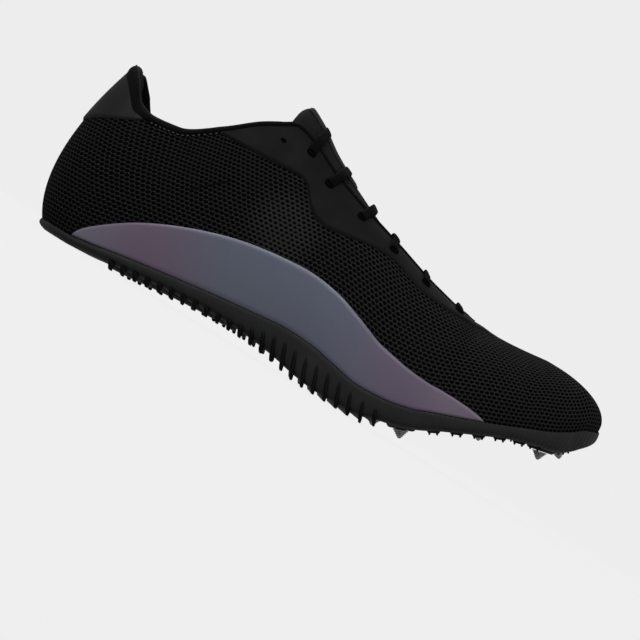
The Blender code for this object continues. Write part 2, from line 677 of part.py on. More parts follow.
def panel_corners():
    """Return the outline of a guard panel, a long leaf standing on the sole line."""
    steps = 18
    low = []
    high = []
    for i in range(steps + 1):
        share = i / steps
        x = PANEL_START + (PANEL_END - PANEL_START) * share
        foot = edge_height(share_at(x)) + PANEL_FOOT
        low.append((x, foot))
        if 0 < i < steps:
            leaf = math.sin(math.pi * share ** 0.85) ** 0.8
            high.append((x, foot + PANEL_HEIGHT * leaf))
    return low + high[::-1]


def rib_shares():
    """Return the shares and heights of the columns that form the cross ribs."""
    columns = []
    pitch = (RIB_END - RIB_START) / (RIB_COUNT - 1)
    for i in range(RIB_COUNT):
        x = RIB_START + i * pitch
        width = RIB_HEEL_WIDTH + (RIB_WAIST_WIDTH - RIB_HEEL_WIDTH) * i / (RIB_COUNT - 1)
        for offset, lift in ((-width / 2 - RIB_DRAFT, 0), (-width / 2, 1), (width / 2, 1),
                             (width / 2 + RIB_DRAFT, 0)):
            columns.append((share_at(x + offset), lift))
    return columns


def front_shares():
    """Return the shares in front of the ribs, which sole and insole have in common."""
    return list(np.linspace(share_at(RIB_END), TOE_POLE, 11))[1:] + turned_shares(TOE_POLE, 1.0, 8)[1:]


def sole_columns():
    """Return the shares along the sole with a lift of 1 on the crest of a rib."""
    rib_start = share_at(RIB_START)
    heel = [(along, 0) for along in turned_shares(0.0, HEEL_POLE, 6)]
    seat = [(along, 0) for along in np.linspace(HEEL_POLE, rib_start, 3)[1:-1]]
    front = [(along, 0) for along in front_shares()]
    return heel + seat + rib_shares() + front


def sole_line(along, side, lift):
    """Return one section of the sole from the middle of its bed round to its underside."""
    land = edge_height(along) - GAP
    edge = ring_point(along, side, -SOLE_LIP + SOLE_UNDERCUT)
    low = edge.z + EDGE_ROUND
    climbs = lift if foot_x(along) > SIDE_RIB_START else 0
    swell = climbs * RIB_SIDE_HEIGHT
    middle = spine_point(along)
    points = [
        Vector((middle.x, middle.y, bed_height(middle.x) + PLATE_THICKNESS)),
        ring_point(along, side, BED_INSET, level=bed_height),
        ring_point(along, side, LAND_WIDTH, land),
        ring_point(along, side, -SOLE_LIP, land),
        ring_point(along, side, -SOLE_LIP - SOLE_BULGE - swell, (land * 0.55 + low * 0.45)),
        ring_point(along, side, -SOLE_LIP + SOLE_UNDERCUT - swell, low - lift * RIB_HEIGHT * 0.4),
        ring_point(along, side, BOTTOM_INSET),
        Vector((middle.x, middle.y, under_height(middle.x) - lift * RIB_HEIGHT)),
    ]
    points[1].z += PLATE_THICKNESS
    points[6].z -= lift * RIB_HEIGHT
    bed = fan_ring(along, side, BED_INSET, PLATE_THICKNESS, bed_height)
    under = fan_ring(along, side, BOTTOM_INSET, -lift * RIB_HEIGHT, heel_end=HEEL_POLE)
    return points[:1] + bed[::-1] + points[1:7] + under + points[7:]


def frustum(sheet, centre, axis, low_radius, high_radius, low, high, sides):
    """Add a closed round stub on an axis to a sheet."""
    made = bmesh.ops.create_cone(sheet, cap_ends=True, segments=sides, radius1=low_radius,
                                 radius2=high_radius, depth=high - low)
    turned = Vector((0, 0, 1)).rotation_difference(axis).to_matrix().to_4x4()
    place = Matrix.Translation(centre + axis * (low + high) / 2) @ turned
    bmesh.ops.transform(sheet, matrix=place, verts=made["verts"])


def pin_base(pin):
    """Return where a pin's axis meets the underside, and the direction it points."""
    along = share_at(pin.x)
    step = 0.002
    slope = (under_height(pin.x + step) - under_height(pin.x - step)) / (2 * step)
    y = swing(along) + pin.side * pin.across * half_width(along)
    return Vector((pin.x, y, under_height(pin.x))), Vector((slope, 0, -1)).normalized()


def build_sole():
    """Make the sole: plate, side wall, cross ribs, pin seats and edge teeth in one solid."""
    builder = Builder()
    columns = sole_columns()
    for side in (LATERAL, MEDIAL):
        lines = [sole_line(along, side, lift) for along, lift in columns]
        for first, second in zip(lines, lines[1:]):
            builder.strip(first, second, side == MEDIAL, diagonal=1)
    sole = add_object("sole", builder.mesh("sole"), material("sole plate", PLATE_GREY, 0.5))
    stubs = bmesh.new()
    for pin in PINS:
        base, axis = pin_base(pin)
        frustum(stubs, base, axis, SEAT_RADIUS + SEAT_HEIGHT / 2, SEAT_RADIUS, -SEAT_ROOT, SEAT_HEIGHT, 12)
    count = int((TOOTH_END - TOOTH_START) / TOOTH_PITCH) + 1
    for side in (LATERAL, MEDIAL):
        for i in range(count):
            point = ring_point(share_at(TOOTH_START + i * TOOTH_PITCH), side, TOOTH_INSET)
            if min((point.xy - pin_base(pin)[0].xy).length for pin in PINS) < SEAT_RADIUS + TOOTH_LENGTH:
                continue
            made = bmesh.ops.create_cone(stubs, cap_ends=True, segments=4, depth=TOOTH_HEIGHT + TOOTH_ROOT,
                                         radius1=TOOTH_LENGTH * 0.32, radius2=TOOTH_LENGTH / math.sqrt(2))
            spin = Matrix.Rotation(math.radians(45), 4, "Z")
            squeeze = Matrix.Diagonal((1.0, TOOTH_WIDTH / TOOTH_LENGTH, 1.0, 1.0))
            drop = Vector((0, 0, (TOOTH_ROOT - TOOTH_HEIGHT) / 2))
            bmesh.ops.transform(stubs, matrix=Matrix.Translation(point + drop) @ squeeze @ spin,
                                verts=made["verts"])
    mesh = bpy.data.meshes.new("sole_stubs")
    stubs.to_mesh(mesh)
    stubs.free()
    cut(sole, "seats and teeth", "UNION", add_cutter("sole_stubs", mesh))
    return sole


def build_insole():
    """Make the insole on the sole's bed."""
    columns = (turned_shares(0.0, HEEL_POLE, 6)
               + list(np.linspace(HEEL_POLE, share_at(RIB_END), 21))[1:] + front_shares())
    builder = Builder()
    low = PLATE_THICKNESS + GAP
    high = low + INSOLE_THICKNESS
    inset = BED_INSET + INSOLE_CLEARANCE
    for side in (LATERAL, MEDIAL):
        lines = []
        for along in columns:
            middle = spine_point(along)
            middle.z = bed_height(middle.x)
            foot = ring_point(along, side, inset, level=bed_height)
            chest = ring_point(along, side, inset - INSOLE_CHAMFER, level=bed_height)
            top = ring_point(along, side, inset + INSOLE_CHAMFER, level=bed_height)
            rise = Vector((0, 0, 1))
            lines.append([middle + rise * high]
                         + fan_ring(along, side, inset + INSOLE_CHAMFER, high, bed_height)[::-1]
                         + [top + rise * high, chest + rise * (high - INSOLE_CHAMFER), foot + rise * low]
                         + fan_ring(along, side, inset, low, bed_height)
                         + [middle + rise * low])
        for first, second in zip(lines, lines[1:]):
            builder.strip(first, second, side == MEDIAL, diagonal=2)
    return add_object("insole", builder.mesh("insole"), material("insole foam", LINING_BLACK, 0.9))


def share_of_top(x):
    """Return the share along the sole whose section ends at x on the throat."""
    low, high = COLLAR_END, TOE_POLE
    for _ in range(40):
        middle = (low + high) / 2
        if section["top_x"](middle) < x:
            low = middle
        else:
            high = middle
    return (low + high) / 2


def throat_profile(x, lift, overlap, crown_lift, count):
    """Return a line across the throat: on the skin outside its edges, arched between them.

    The lift is measured out from the upper's outer face. The line reaches overlap past the
    edges, and passes crown_lift above the tongue's own crown.
    """
    along = share_of_top(x)
    half = top_half(along)
    height_inside = -UPPER_WALL - TONGUE_CLEARANCE
    outer = []
    far = 0.0
    last = None
    for t in np.linspace(RIM_SHARE, DEEP_SHARE, WALL_STEPS):
        t = float(t)
        point = skin_point(along, MEDIAL, t)
        moved = point + skin_normal(along, MEDIAL, t) * lift
        if last is not None:
            far += (point - last).length
        last = point
        outer.append((far, moved))
    fars = [item[0] for item in outer]
    rim = outer[0][1]
    middle = swing(along)
    seat = skin_point(along, MEDIAL, RIM_SHARE) + skin_normal(along, MEDIAL, RIM_SHARE) * height_inside
    peak = seat.z + crown_rise(x) + crown_lift
    line = []
    for k in range(count + 1):
        far = overlap * (1 - k / count)
        line.append(Vector([np.interp(far, fars, [item[1][axis] for item in outer]) for axis in range(3)]))
    reach = rim.y - middle
    if half > CLOSED_SHARE * HALF_THROAT:
        for k in range(1, count + 1):
            share = 1 - k / count
            line.append(Vector((rim.x, middle + reach * share, peak + (rim.z - peak) * share * share)))
    else:
        line.append(Vector((rim.x, middle, rim.z)))
        for k in range(1, count):
            line.insert(-1, line[-2].lerp(line[-1], 1 / (count + 1 - k)))
    other = [Vector((point.x, 2 * middle - point.y, point.z)) for point in line[:-1]]
    return line + other[::-1]


def build_tongue():
    """Make the tongue, a padded strip that fills the throat from below and stands above it."""
    stations = [TONGUE_BACK_X] + list(np.linspace(TONGUE_BACK_X + TONGUE_ROUND, TONGUE_FRONT_X, 13))
    lines = []
    for x in stations:
        lines.append(throat_profile(x, -UPPER_WALL - TONGUE_CLEARANCE, TONGUE_OVERLAP, 0.0, 4))
    builder = Builder()
    for first, second in zip(lines, lines[1:]):
        builder.strip(first, second, False)
    tongue = add_object("tongue", builder.mesh("tongue"), material("tongue knit", TONGUE_GREY, 0.9))
    thicken(tongue, TONGUE_THICKNESS, -1)
    return tongue


def build_laces():
    """Make one flat bar of lace for each row, from eyelet to eyelet over the tongue."""
    surface = material("lace", LACE_BLACK, 0.8)
    lift = 2 * GAP + OVERLAY_THICKNESS
    for number, x in enumerate(LACE_ROWS, start=1):
        back = throat_profile(x - LACE_WIDTH / 2, lift, EYELET_INSET, LACE_LIFT, 3)
        front = throat_profile(x + LACE_WIDTH / 2, lift, EYELET_INSET, LACE_LIFT, 3)
        builder = Builder()
        builder.strip(back, front, False)
        bar = add_object(f"lace_bar_{number}", builder.mesh("lace bar"), surface)
        thicken(bar, LACE_THICKNESS, 1)


def build_pins():
    """Make the pins: stepped cones on round flanges, square to the plate."""
    for pin in PINS:
        surface = material(pin.name, PIN_STEEL, 0.35, 1.0)
        base, axis = pin_base(pin)
        start = base + axis * (SEAT_HEIGHT + GAP)
        length = pin.length - SEAT_HEIGHT - GAP
        outline = [(0.0, 0.0)] + [(share * length, radius * PIN_FLANGE_RADIUS) for share, radius in PIN_STEPS]
        outline += [(length, PIN_TIP_RADIUS), (length, 0.0)]
        builder = Builder()
        turned = Vector((0, 0, 1)).rotation_difference(axis).to_matrix()
        lines = []
        for i in range(PIN_SIDES + 1):
            angle = 2 * math.pi * (i % PIN_SIDES) / PIN_SIDES
            spoke = Vector((math.cos(angle), math.sin(angle), 0))
            lines.append([start + turned @ (spoke * radius + Vector((0, 0, far))) for far, radius in outline])
        for first, second in zip(lines, lines[1:]):
            builder.strip(first, second, True)
        add_object(pin.name, builder.mesh(pin.name), surface)


def settle():
    """Tip the shoe onto the floor and bring the origin under the middle of its box."""
    shoe = bpy.data.objects["shoe"]
    shoe.rotation_euler = (0, -math.atan(REST_SLOPE), 0)
    bpy.context.view_layer.update()
    place = shoe.matrix_world.copy()
    graph = bpy.context.evaluated_depsgraph_get()
    low = Vector((1, 1, 1))
    high = Vector((-1, -1, -1))
    for item in bpy.data.objects:
        if item.type != "MESH" or item.hide_render:
            continue
        mesh = item.evaluated_get(graph).to_mesh()
        for vert in mesh.vertices:
            point = place @ vert.co
            low = Vector(map(min, low, point))
            high = Vector(map(max, high, point))
    shoe.location = (-(low.x + high.x) / 2, -(low.y + high.y) / 2, -low.z)
    bpy.context.view_layer.update()


def main():
    """Build the shoe."""
    for item in list(bpy.data.objects):
        bpy.data.objects.remove(item, do_unlink=True)
    shoe = bpy.data.objects.new("shoe", None)
    bpy.context.scene.collection.objects.link(shoe)
    build_upper()
    film = material("film", FILM_GREY, 0.55)
    panel = material("guard panel", PANEL_MAUVE, 0.4, 0.3)
    reach = BALL_WIDTH
    build_overlay("eyestay", eyestay_corners(), -reach, reach, film)
    build_overlay("heel_tab", heel_tab_corners(), -reach, reach, film)
    build_overlay("panel_lateral", panel_corners(), -reach, -0.1 * reach, panel)
    build_overlay("panel_medial", panel_corners(), 0.1 * reach, reach, panel)
    build_sole()
    build_insole()
    build_tongue()
    build_laces()
    build_pins()
    settle()


main()
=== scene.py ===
"""The looks of a track spike shoe for the right foot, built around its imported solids.

The shoe's own coordinates are those of its pattern: x from the back of the heel to the toe,
y to the medial side and z up from the line under the heel, in metres. Last.world tips them
onto the floor, where every piece is modelled. The pieces follow one surface, the skin of the
last, which a turn round the sole and a share up the wall give.
"""
import logging
import math
from collections.abc import Callable
from dataclasses import dataclass, field
from enum import Enum, IntEnum

import bpy
import numpy as np
from mathutils import Matrix, Vector


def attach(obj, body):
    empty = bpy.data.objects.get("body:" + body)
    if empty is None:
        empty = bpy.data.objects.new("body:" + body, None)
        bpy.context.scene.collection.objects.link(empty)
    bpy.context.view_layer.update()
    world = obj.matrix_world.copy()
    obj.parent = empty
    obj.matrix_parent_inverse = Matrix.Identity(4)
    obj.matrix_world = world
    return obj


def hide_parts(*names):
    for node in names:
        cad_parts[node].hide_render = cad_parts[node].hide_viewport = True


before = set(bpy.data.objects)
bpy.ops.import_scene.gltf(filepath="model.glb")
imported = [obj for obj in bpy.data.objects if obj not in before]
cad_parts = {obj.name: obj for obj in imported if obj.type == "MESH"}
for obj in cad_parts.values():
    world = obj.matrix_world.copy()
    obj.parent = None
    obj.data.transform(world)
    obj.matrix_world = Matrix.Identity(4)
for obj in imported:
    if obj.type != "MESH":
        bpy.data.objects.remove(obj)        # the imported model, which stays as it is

LOG = logging.getLogger("shoe")


class Side(IntEnum):
    """The shoe's two sides, by the sign of y."""

    LATERAL = -1
    MEDIAL = 1


class Slot(Enum):
    """Material slots of the record."""

    MESH = "mesh"
    FILM = "film"
    PANEL = "panel"
    TONGUE = "tongue"
    INSOLE = "insole"
    PLATE = "plate"
    LACE = "lace"
    PIN = "pin"


# ---- the form -------------------------------------------------------------------------------

LENGTH, HEEL_OVER, TOE_WRAP = 0.285, 0.007, 0.0014
HALF_BALL, HALF_WAIST, HALF_HEEL = 0.046, 0.0295, 0.031
HALF_COLLAR, HALF_THROAT, SWING = 0.025, 0.0165, 0.010
HEEL, COLLAR, THROAT, VAMP, TOE = 0.088, 0.0683, 0.098, 0.0636, 0.0652
THROAT_FRONT, TOE_POLE = 0.72, 0.859
HEEL_TUCK, TUCK_TURN = 0.0016, 0.55     # how far the heel's foot draws in, and over which turn
HEEL_TRIM, TRIM_TURN = 0.028, 0.30      # the share that the heel's tip is cut by, and over which turn
RUN = LENGTH - HEEL_OVER - TOE_WRAP
HEEL_POLE = HALF_HEEL / RUN

# along the sole: half width and swing of its middle
PLAN = [(0.000, 0.00 * HALF_HEEL, 0.00), (0.014, 0.47 * HALF_HEEL, 0.00), (0.050, 0.84 * HALF_HEEL, -0.03),
        (0.110, 0.99 * HALF_HEEL, -0.08), (0.170, 1.00 * HALF_HEEL, -0.10),
        (0.300, 1.00 * HALF_WAIST, -0.18), (0.450, 1.06 * HALF_WAIST, -0.20),
        (0.578, 0.86 * HALF_BALL, -0.15), (0.668, 0.98 * HALF_BALL, -0.05),
        (0.750, 1.00 * HALF_BALL, 0.08), (0.848, 0.88 * HALF_BALL, 0.38), (0.920, 0.70 * HALF_BALL, 0.66),
        (0.975, 0.43 * HALF_BALL, 0.88), (1.000, 0.00 * HALF_BALL, 1.00)]

# along the sole: height of its top edge in millimetres
SOLE_EDGE = [(0.000, 4.50), (0.041, 3.42), (0.076, 3.15), (0.110, 4.06), (0.180, 7.02), (0.250, 9.67),
             (0.320, 12.17), (0.390, 14.20), (0.455, 15.60), (0.500, 14.82), (0.543, 12.48), (0.597, 9.80),
             (0.637, 10.29), (0.680, 12.54), (0.710, 15.50), (0.790, 23.50), (0.863, 31.50), (0.903, 36.00),
             (0.937, 41.00), (0.960, 45.00), (1.000, 50.00)]

# share of the length: height of the underside without ribs, in millimetres
UNDERSIDE = [(0.000, 0.00), (0.100, -0.537), (0.145, 0.624), (0.176, 1.508), (0.212, 2.392), (0.252, 3.484),
             (0.288, 4.42), (0.345, 5.20), (0.385, 5.096), (0.425, 4.316), (0.467, 2.704), (0.505, 0.416),
             (0.530, -0.70), (0.550, -1.274), (0.580, -1.484), (0.608, -1.582), (0.630, -0.252),
             (0.657, 2.044), (0.677, 3.212), (0.705, 5.84), (0.749, 11.972), (0.787, 16.80),
             (0.853, 24.30), (0.893, 27.20), (0.935, 30.10), (0.956, 33.80), (0.976, 38.10), (1.000, 43.80)]
BED = [(0.000, 0.00), (0.145, 0.728), (0.212, 2.60), (0.288, 4.68), (0.360, 5.616), (0.425, 5.096),
       (0.505, 3.224), (0.590, 2.496), (0.657, 2.92), (0.705, 6.132), (0.749, 11.972), (0.787, 17.52),
       (0.853, 25.112), (0.893, 27.74), (0.935, 30.076), (0.956, 32.996), (0.976, 37.084), (1.000, 43.80)]
REST_SLOPE, RIB_HEIGHT, RIB_START = 0.0187538, 0.0017, 0.05586

# along the sole, then the head of the section (x share, half width, height) and its pull out and up at
# the foot and in and down at the head, as shares of the last three: the measures of top, height and foot
SECTION_ROWS = [
    (0.000, 0.037, 0.00, 1.000, 0.39, 0.21, 0.37, 0.38, HALF_COLLAR, HEEL, HALF_HEEL),
    (0.014, 0.042, 0.30, 0.996, 0.37, 0.21, 0.36, 0.37, HALF_COLLAR, HEEL, HALF_HEEL),
    (0.050, 0.065, 0.66, 0.905, 0.30, 0.21, 0.32, 0.32, HALF_COLLAR, HEEL, HALF_HEEL),
    (0.080, 0.090, 0.85, 1.030, 0.25, 0.27, 0.29, 0.34, HALF_COLLAR, COLLAR, HALF_HEEL),
    (0.112, 0.118, 0.95, 1.000, 0.22, 0.28, 0.28, 0.30, HALF_COLLAR, COLLAR, HALF_HEEL),
    (0.160, 0.161, 1.00, 1.018, 0.20, 0.30, 0.28, 0.30, HALF_COLLAR, COLLAR, HALF_HEEL),
    (0.220, 0.219, 1.00, 0.812, 0.20, 0.25, 0.32, 0.23, HALF_COLLAR, THROAT, HALF_HEEL),
    (0.270, 0.265, 0.93, 0.920, 0.22, 0.28, 0.36, 0.26, HALF_COLLAR, THROAT, HALF_WAIST),
    (0.305, 0.295, 0.82, 0.975, 0.23, 0.30, 0.40, 0.28, HALF_COLLAR, THROAT, HALF_WAIST),
    (0.335, 0.319, 1.10, 1.010, 0.24, 0.31, 0.43, 0.27, HALF_THROAT, THROAT, HALF_WAIST),
    (0.360, 0.350, 1.04, 0.986, 0.24, 0.31, 0.48, 0.22, HALF_THROAT, THROAT, HALF_WAIST),
    (0.400, 0.397, 1.00, 0.917, 0.24, 0.29, 0.52, 0.16, HALF_THROAT, THROAT, HALF_WAIST),
    (0.460, 0.461, 0.98, 0.844, 0.24, 0.27, 0.60, 0.12, HALF_THROAT, THROAT, HALF_WAIST),
    (0.550, 0.554, 0.93, 0.757, 0.14, 0.27, 0.45, 0.07, HALF_THROAT, THROAT, HALF_BALL),
    (0.630, 0.638, 0.82, 1.048, 0.11, 0.39, 0.52, 0.06, HALF_THROAT, VAMP, HALF_BALL),
    (0.680, 0.694, 0.60, 0.999, 0.10, 0.39, 0.59, 0.02, HALF_THROAT, VAMP, HALF_BALL),
    (0.720, 0.725, 0.00, 0.996, 0.09, 0.37, 0.67, 0.00, HALF_THROAT, VAMP, HALF_BALL),
    (0.780, 0.779, 0.00, 1.000, 0.08, 0.34, 0.64, 0.00, HALF_THROAT, VAMP, HALF_BALL),
    (0.859, 0.858, 0.00, 1.012, 0.07, 0.29, 0.52, 0.00, HALF_THROAT, TOE, HALF_BALL),
    (1.000, 0.858, 0.00, 1.012, 0.04, 0.14, 0.52, 0.00, HALF_THROAT, TOE, HALF_BALL),
]
SECTIONS = [(along, x, half * top, height * tall, belly * foot, rise * tall, pull * foot, drop * tall)
            for along, x, half, height, belly, rise, pull, drop, top, tall, foot in SECTION_ROWS]

# share of the length: how far the tongue's middle stands above its seat at the throat, in millimetres
CROWN = [(0.295, 15.0), (0.360, 11.4), (0.404, 9.5), (0.470, 7.3), (0.550, 3.9), (0.632, 0.2), (0.760, 0.0)]

# side view of the film's lower edge round the throat: share of the length, height in millimetres
FILM_EDGE = [(0.204, 76.0), (0.268, 76.1), (0.325, 77.0), (0.362, 77.6), (0.378, 75.6), (0.390, 71.5),
             (0.405, 66.6), (0.418, 64.2), (0.436, 63.2), (0.460, 63.9), (0.485, 65.2), (0.515, 66.6),
             (0.540, 66.9), (0.566, 65.5), (0.600, 62.0), (0.628, 60.2), (0.660, 59.6), (0.700, 60.2),
             (0.740, 61.4), (0.765, 62.4)]
TAB_EDGE = [(-0.030, 50.4), (0.005, 51.8), (0.044, 55.9), (0.095, 62.4), (0.110, 65.5), (0.150, 72.0)]


class Curve:
    """A smooth curve through points, which never overshoots them."""

    def __init__(self, points: list[tuple[float, float]], scale: float = 1.0, reach: float = 1.0) -> None:
        """Take the points, with their places times reach and their values times scale."""
        self.xs = np.array([point[0] for point in points], float) * reach
        self.ys = np.array([point[1] for point in points], float) * scale
        step = np.diff(self.xs)
        rate = np.diff(self.ys) / step
        slope = np.concatenate([rate[:1], np.zeros(len(rate) - 1), rate[-1:]])
        for i in range(1, len(rate)):
            if rate[i - 1] * rate[i] > 0:
                before, after = 2 * step[i] + step[i - 1], step[i] + 2 * step[i - 1]
                slope[i] = (before + after) / (before / rate[i - 1] + after / rate[i])
        self.step, self.slope = step, slope

    def __call__(self, x: np.ndarray | float) -> np.ndarray:
        """Return the curve's values.

        Args:
            x: One place or an array of them, held to the curve's own reach.

        Returns:
            The values there, in the same shape.
        """
        x = np.clip(np.asarray(x, float), self.xs[0], self.xs[-1])
        i = np.clip(np.searchsorted(self.xs, x, side="right") - 1, 0, len(self.step) - 1)
        t = (x - self.xs[i]) / self.step[i]
        return (self.ys[i] * (1 + 2 * t) * (1 - t) ** 2 + self.step[i] * self.slope[i] * t * (1 - t) ** 2
                + self.ys[i + 1] * t * t * (3 - 2 * t) + self.step[i] * self.slope[i + 1] * t * t * (t - 1))


def column(rows: list[tuple], index: int, scale: float = 1.0) -> Curve:
    """Return one column of a table as a curve of the turn round the sole."""
    return Curve([(math.acos(1 - 2 * row[0]), row[index]) for row in rows], scale)


def flat_ring(spine: np.ndarray) -> np.ndarray:
    """Return spine points in plan as points on the foot line."""
    return np.concatenate([spine, np.zeros((len(spine), 1))], -1)


def fan(start: np.ndarray, end: np.ndarray, shares: list[float],
        level: Callable[[np.ndarray, float], np.ndarray]) -> list[np.ndarray]:
    """Return rings between two rings.

    Args:
        start: Points of the first ring.
        end: Points of the second ring, as many.
        shares: How far from the first to the second each new ring lies.
        level: Gives the heights of a ring from its x and its share.

    Returns:
        The new rings in order.
    """
    rings = []
    for share in shares:
        ring = start + (end - start) * share
        ring[:, 2] = level(ring[:, 0], share)
        rings.append(ring)
    return rings


def soft_step(x: np.ndarray | float, low: float, high: float) -> np.ndarray:
    """Return 0 below low, 1 above high and a smooth rise between them."""
    t = np.clip((np.asarray(x, float) - low) / (high - low), 0, 1)
    return t * t * (3 - 2 * t)


@dataclass(frozen=True)
class Crease:
    """A soft trough in the skin, or a ridge where its depth is negative."""

    x: float
    z: float
    lean: float
    reach: float
    width: float
    depth: float


@dataclass
class Last:
    """The shoe's form: its skin, its sole line and its place on the floor."""

    shift: Vector = field(default_factory=lambda: Vector((-0.141467, -0.000482, 0.0)))
    creases: list[Crease] = field(default_factory=lambda: [
        Crease(0.196, 0.050, -62.0, 0.020, 0.0042, 0.00045),
        Crease(0.208, 0.052, -58.0, 0.018, 0.0036, -0.00025),
        Crease(0.181, 0.046, -66.0, 0.016, 0.0040, 0.00035),
        Crease(0.088, 0.054, 20.0, 0.016, 0.0040, 0.00040),
        Crease(0.080, 0.045, 26.0, 0.015, 0.0042, 0.00030),
        Crease(0.118, 0.060, -40.0, 0.014, 0.0034, 0.00030),
    ])

    def __post_init__(self) -> None:
        """Make the curves of the tables."""
        self.half, self.swing = column(PLAN, 1), column(PLAN, 2, SWING)
        self.edge = column(SOLE_EDGE, 1, 0.001)
        self.under = Curve(UNDERSIDE, 0.001, LENGTH)
        self.bed = Curve(BED, 0.001, LENGTH)
        self.crown = Curve(CROWN, 0.001, LENGTH)
        self.section = [column(SECTIONS, index) for index in range(1, 8)]

    def world(self, points: np.ndarray) -> np.ndarray:
        """Return points of the pattern where the shoe stands on the floor."""
        tip = math.atan(REST_SLOPE)
        points = np.asarray(points, float)
        x, y, z = points[..., 0], points[..., 1], points[..., 2]
        return np.stack([x * math.cos(tip) - z * math.sin(tip) + self.shift.x, y + self.shift.y,
                         x * math.sin(tip) + z * math.cos(tip) + self.shift.z], -1)

    def frame(self, turn: np.ndarray) -> tuple[np.ndarray, ...]:
        """Return what a turn round the sole means, from -pi at the toe by the lateral side to pi.

        Args:
            turn: Turns round the sole, 0 at the heel.

        Returns:
            The turn without its side, the share along, the side, the outline point in plan, the
            spine point and the level direction out.
        """
        turn = (np.asarray(turn, float) + math.pi) % (2 * math.pi) - math.pi
        side = np.where(turn < 0, Side.LATERAL, Side.MEDIAL)
        plain = np.abs(turn)
        along = (1 - np.cos(plain)) / 2
        outline = np.stack([HEEL_OVER + along * RUN, self.swing(plain) + side * self.half(plain)], -1)
        held = np.clip(along, HEEL_POLE, TOE_POLE)
        spine = np.stack([HEEL_OVER + held * RUN, self.swing(np.arccos(1 - 2 * held))], -1)
        out = outline - spine
        out = out / np.maximum(np.linalg.norm(out, axis=-1, keepdims=True), 1e-9)
        outline = outline - out * (HEEL_TUCK * np.exp(-(plain / TUCK_TURN) ** 2))[..., None]
        return plain, along, side, outline, spine, out

    def skin(self, turn: np.ndarray, share: np.ndarray) -> np.ndarray:
        """Return points of the upper's outer face.

        Args:
            turn: Turns round the sole.
            share: Shares up the wall, 0 at the sole and 1 at the collar, throat or ridge.

        Returns:
            The points, in the shape of turn and share broadcast together, with x, y and z last.
        """
        turn, share = np.broadcast_arrays(np.asarray(turn, float), np.asarray(share, float))
        plain, along, side, outline, spine, out = self.frame(turn)
        top_x, top_half, top_z, belly, rise, run, drop = [curve(plain) for curve in self.section]
        top_x = np.where(along < TOE_POLE, top_x * LENGTH, HEEL_OVER + TOE_POLE * RUN)
        top_half = np.where(along < THROAT_FRONT, top_half, 0.0)
        held = np.arccos(1 - 2 * np.minimum(along, TOE_POLE))
        foot = np.concatenate([outline, self.edge(plain)[..., None]], -1)
        top = np.stack([top_x, self.swing(held) + side * top_half, top_z], -1)
        lean = top[..., :2] - foot[..., :2]
        lean = lean - out * np.sum(lean * out, -1, keepdims=True)
        height = (top[..., 2] - foot[..., 2])[..., None]
        low, high = foot.copy(), top.copy()
        low[..., :2] += out * belly[..., None] + lean * rise[..., None] / height
        low[..., 2] += rise
        high[..., :2] += out * run[..., None] - lean * drop[..., None] / height
        high[..., 2] -= drop
        t = share[..., None]
        s = 1 - t
        return foot * s ** 3 + low * 3 * s * s * t + high * 3 * s * t * t + top * t ** 3

    def normal(self, turn: np.ndarray, share: np.ndarray) -> np.ndarray:
        """Return the skin's outward directions, for arrays as skin takes them."""
        turn, share = np.broadcast_arrays(np.asarray(turn, float), np.asarray(share, float))
        step = 0.004
        across = self.skin(turn + step, share) - self.skin(turn - step, share)
        high, low = np.minimum(share + step, 1.0), np.maximum(np.minimum(share - step, 1.0 - 2 * step), 0.0)
        rising = self.skin(turn, high) - self.skin(turn, low)
        cross = np.cross(rising, across)
        return cross / np.maximum(np.linalg.norm(cross, axis=-1, keepdims=True), 1e-12)

    def lifted(self, turn: np.ndarray, share: np.ndarray, lift: np.ndarray | float) -> np.ndarray:
        """Return skin points moved out by lift, with the creases pressed in."""
        points = self.skin(turn, share)
        sunk = np.zeros(points.shape[:-1])
        for crease in self.creases:
            lean = math.radians(crease.lean)
            x, z = points[..., 0] - crease.x, points[..., 2] - crease.z
            off = x * math.cos(lean) + z * math.sin(lean)
            far = -x * math.sin(lean) + z * math.cos(lean)
            sunk += crease.depth * np.exp(-(off / crease.width) ** 2 - (far / crease.reach) ** 2)
        return points + self.normal(turn, share) * (np.asarray(lift) - sunk)[..., None]

    @staticmethod
    def brim(turn: np.ndarray) -> np.ndarray:
        """Return the share up the wall at which the finished edge runs, trimmed at the heel's tip."""
        return 1 - HEEL_TRIM * np.exp(-(np.asarray(turn) / TRIM_TURN) ** 2)

    def turn_at(self, x: np.ndarray | float, side: Side) -> np.ndarray:
        """Return the turns round the sole at places along the pattern's foot line."""
        along = np.clip((np.asarray(x, float) - HEEL_OVER) / RUN, 0.0, 1.0)
        return side * np.arccos(1 - 2 * along)

    def turn_of_top(self, x: float, side: Side) -> float:
        """Return the turn whose section ends at x on the collar or throat."""
        low, high = 0.0, math.acos(1 - 2 * TOE_POLE)
        for _ in range(40):
            middle = (low + high) / 2
            if self.section[0](middle) * LENGTH < x:
                low = middle
            else:
                high = middle
        return side * (low + high) / 2

    def share_on(self, turn: np.ndarray, edge: Callable[[np.ndarray], np.ndarray], steps: int = 34
                 ) -> np.ndarray:
        """Return the shares up the wall where an edge, given as height over x, crosses the sections."""
        low, high = np.zeros_like(turn), np.ones_like(turn)
        for _ in range(steps):
            middle = (low + high) / 2
            point = self.skin(turn, middle)
            below = point[..., 2] < edge(point[..., 0])
            low, high = np.where(below, middle, low), np.where(below, high, middle)
        return (low + high) / 2


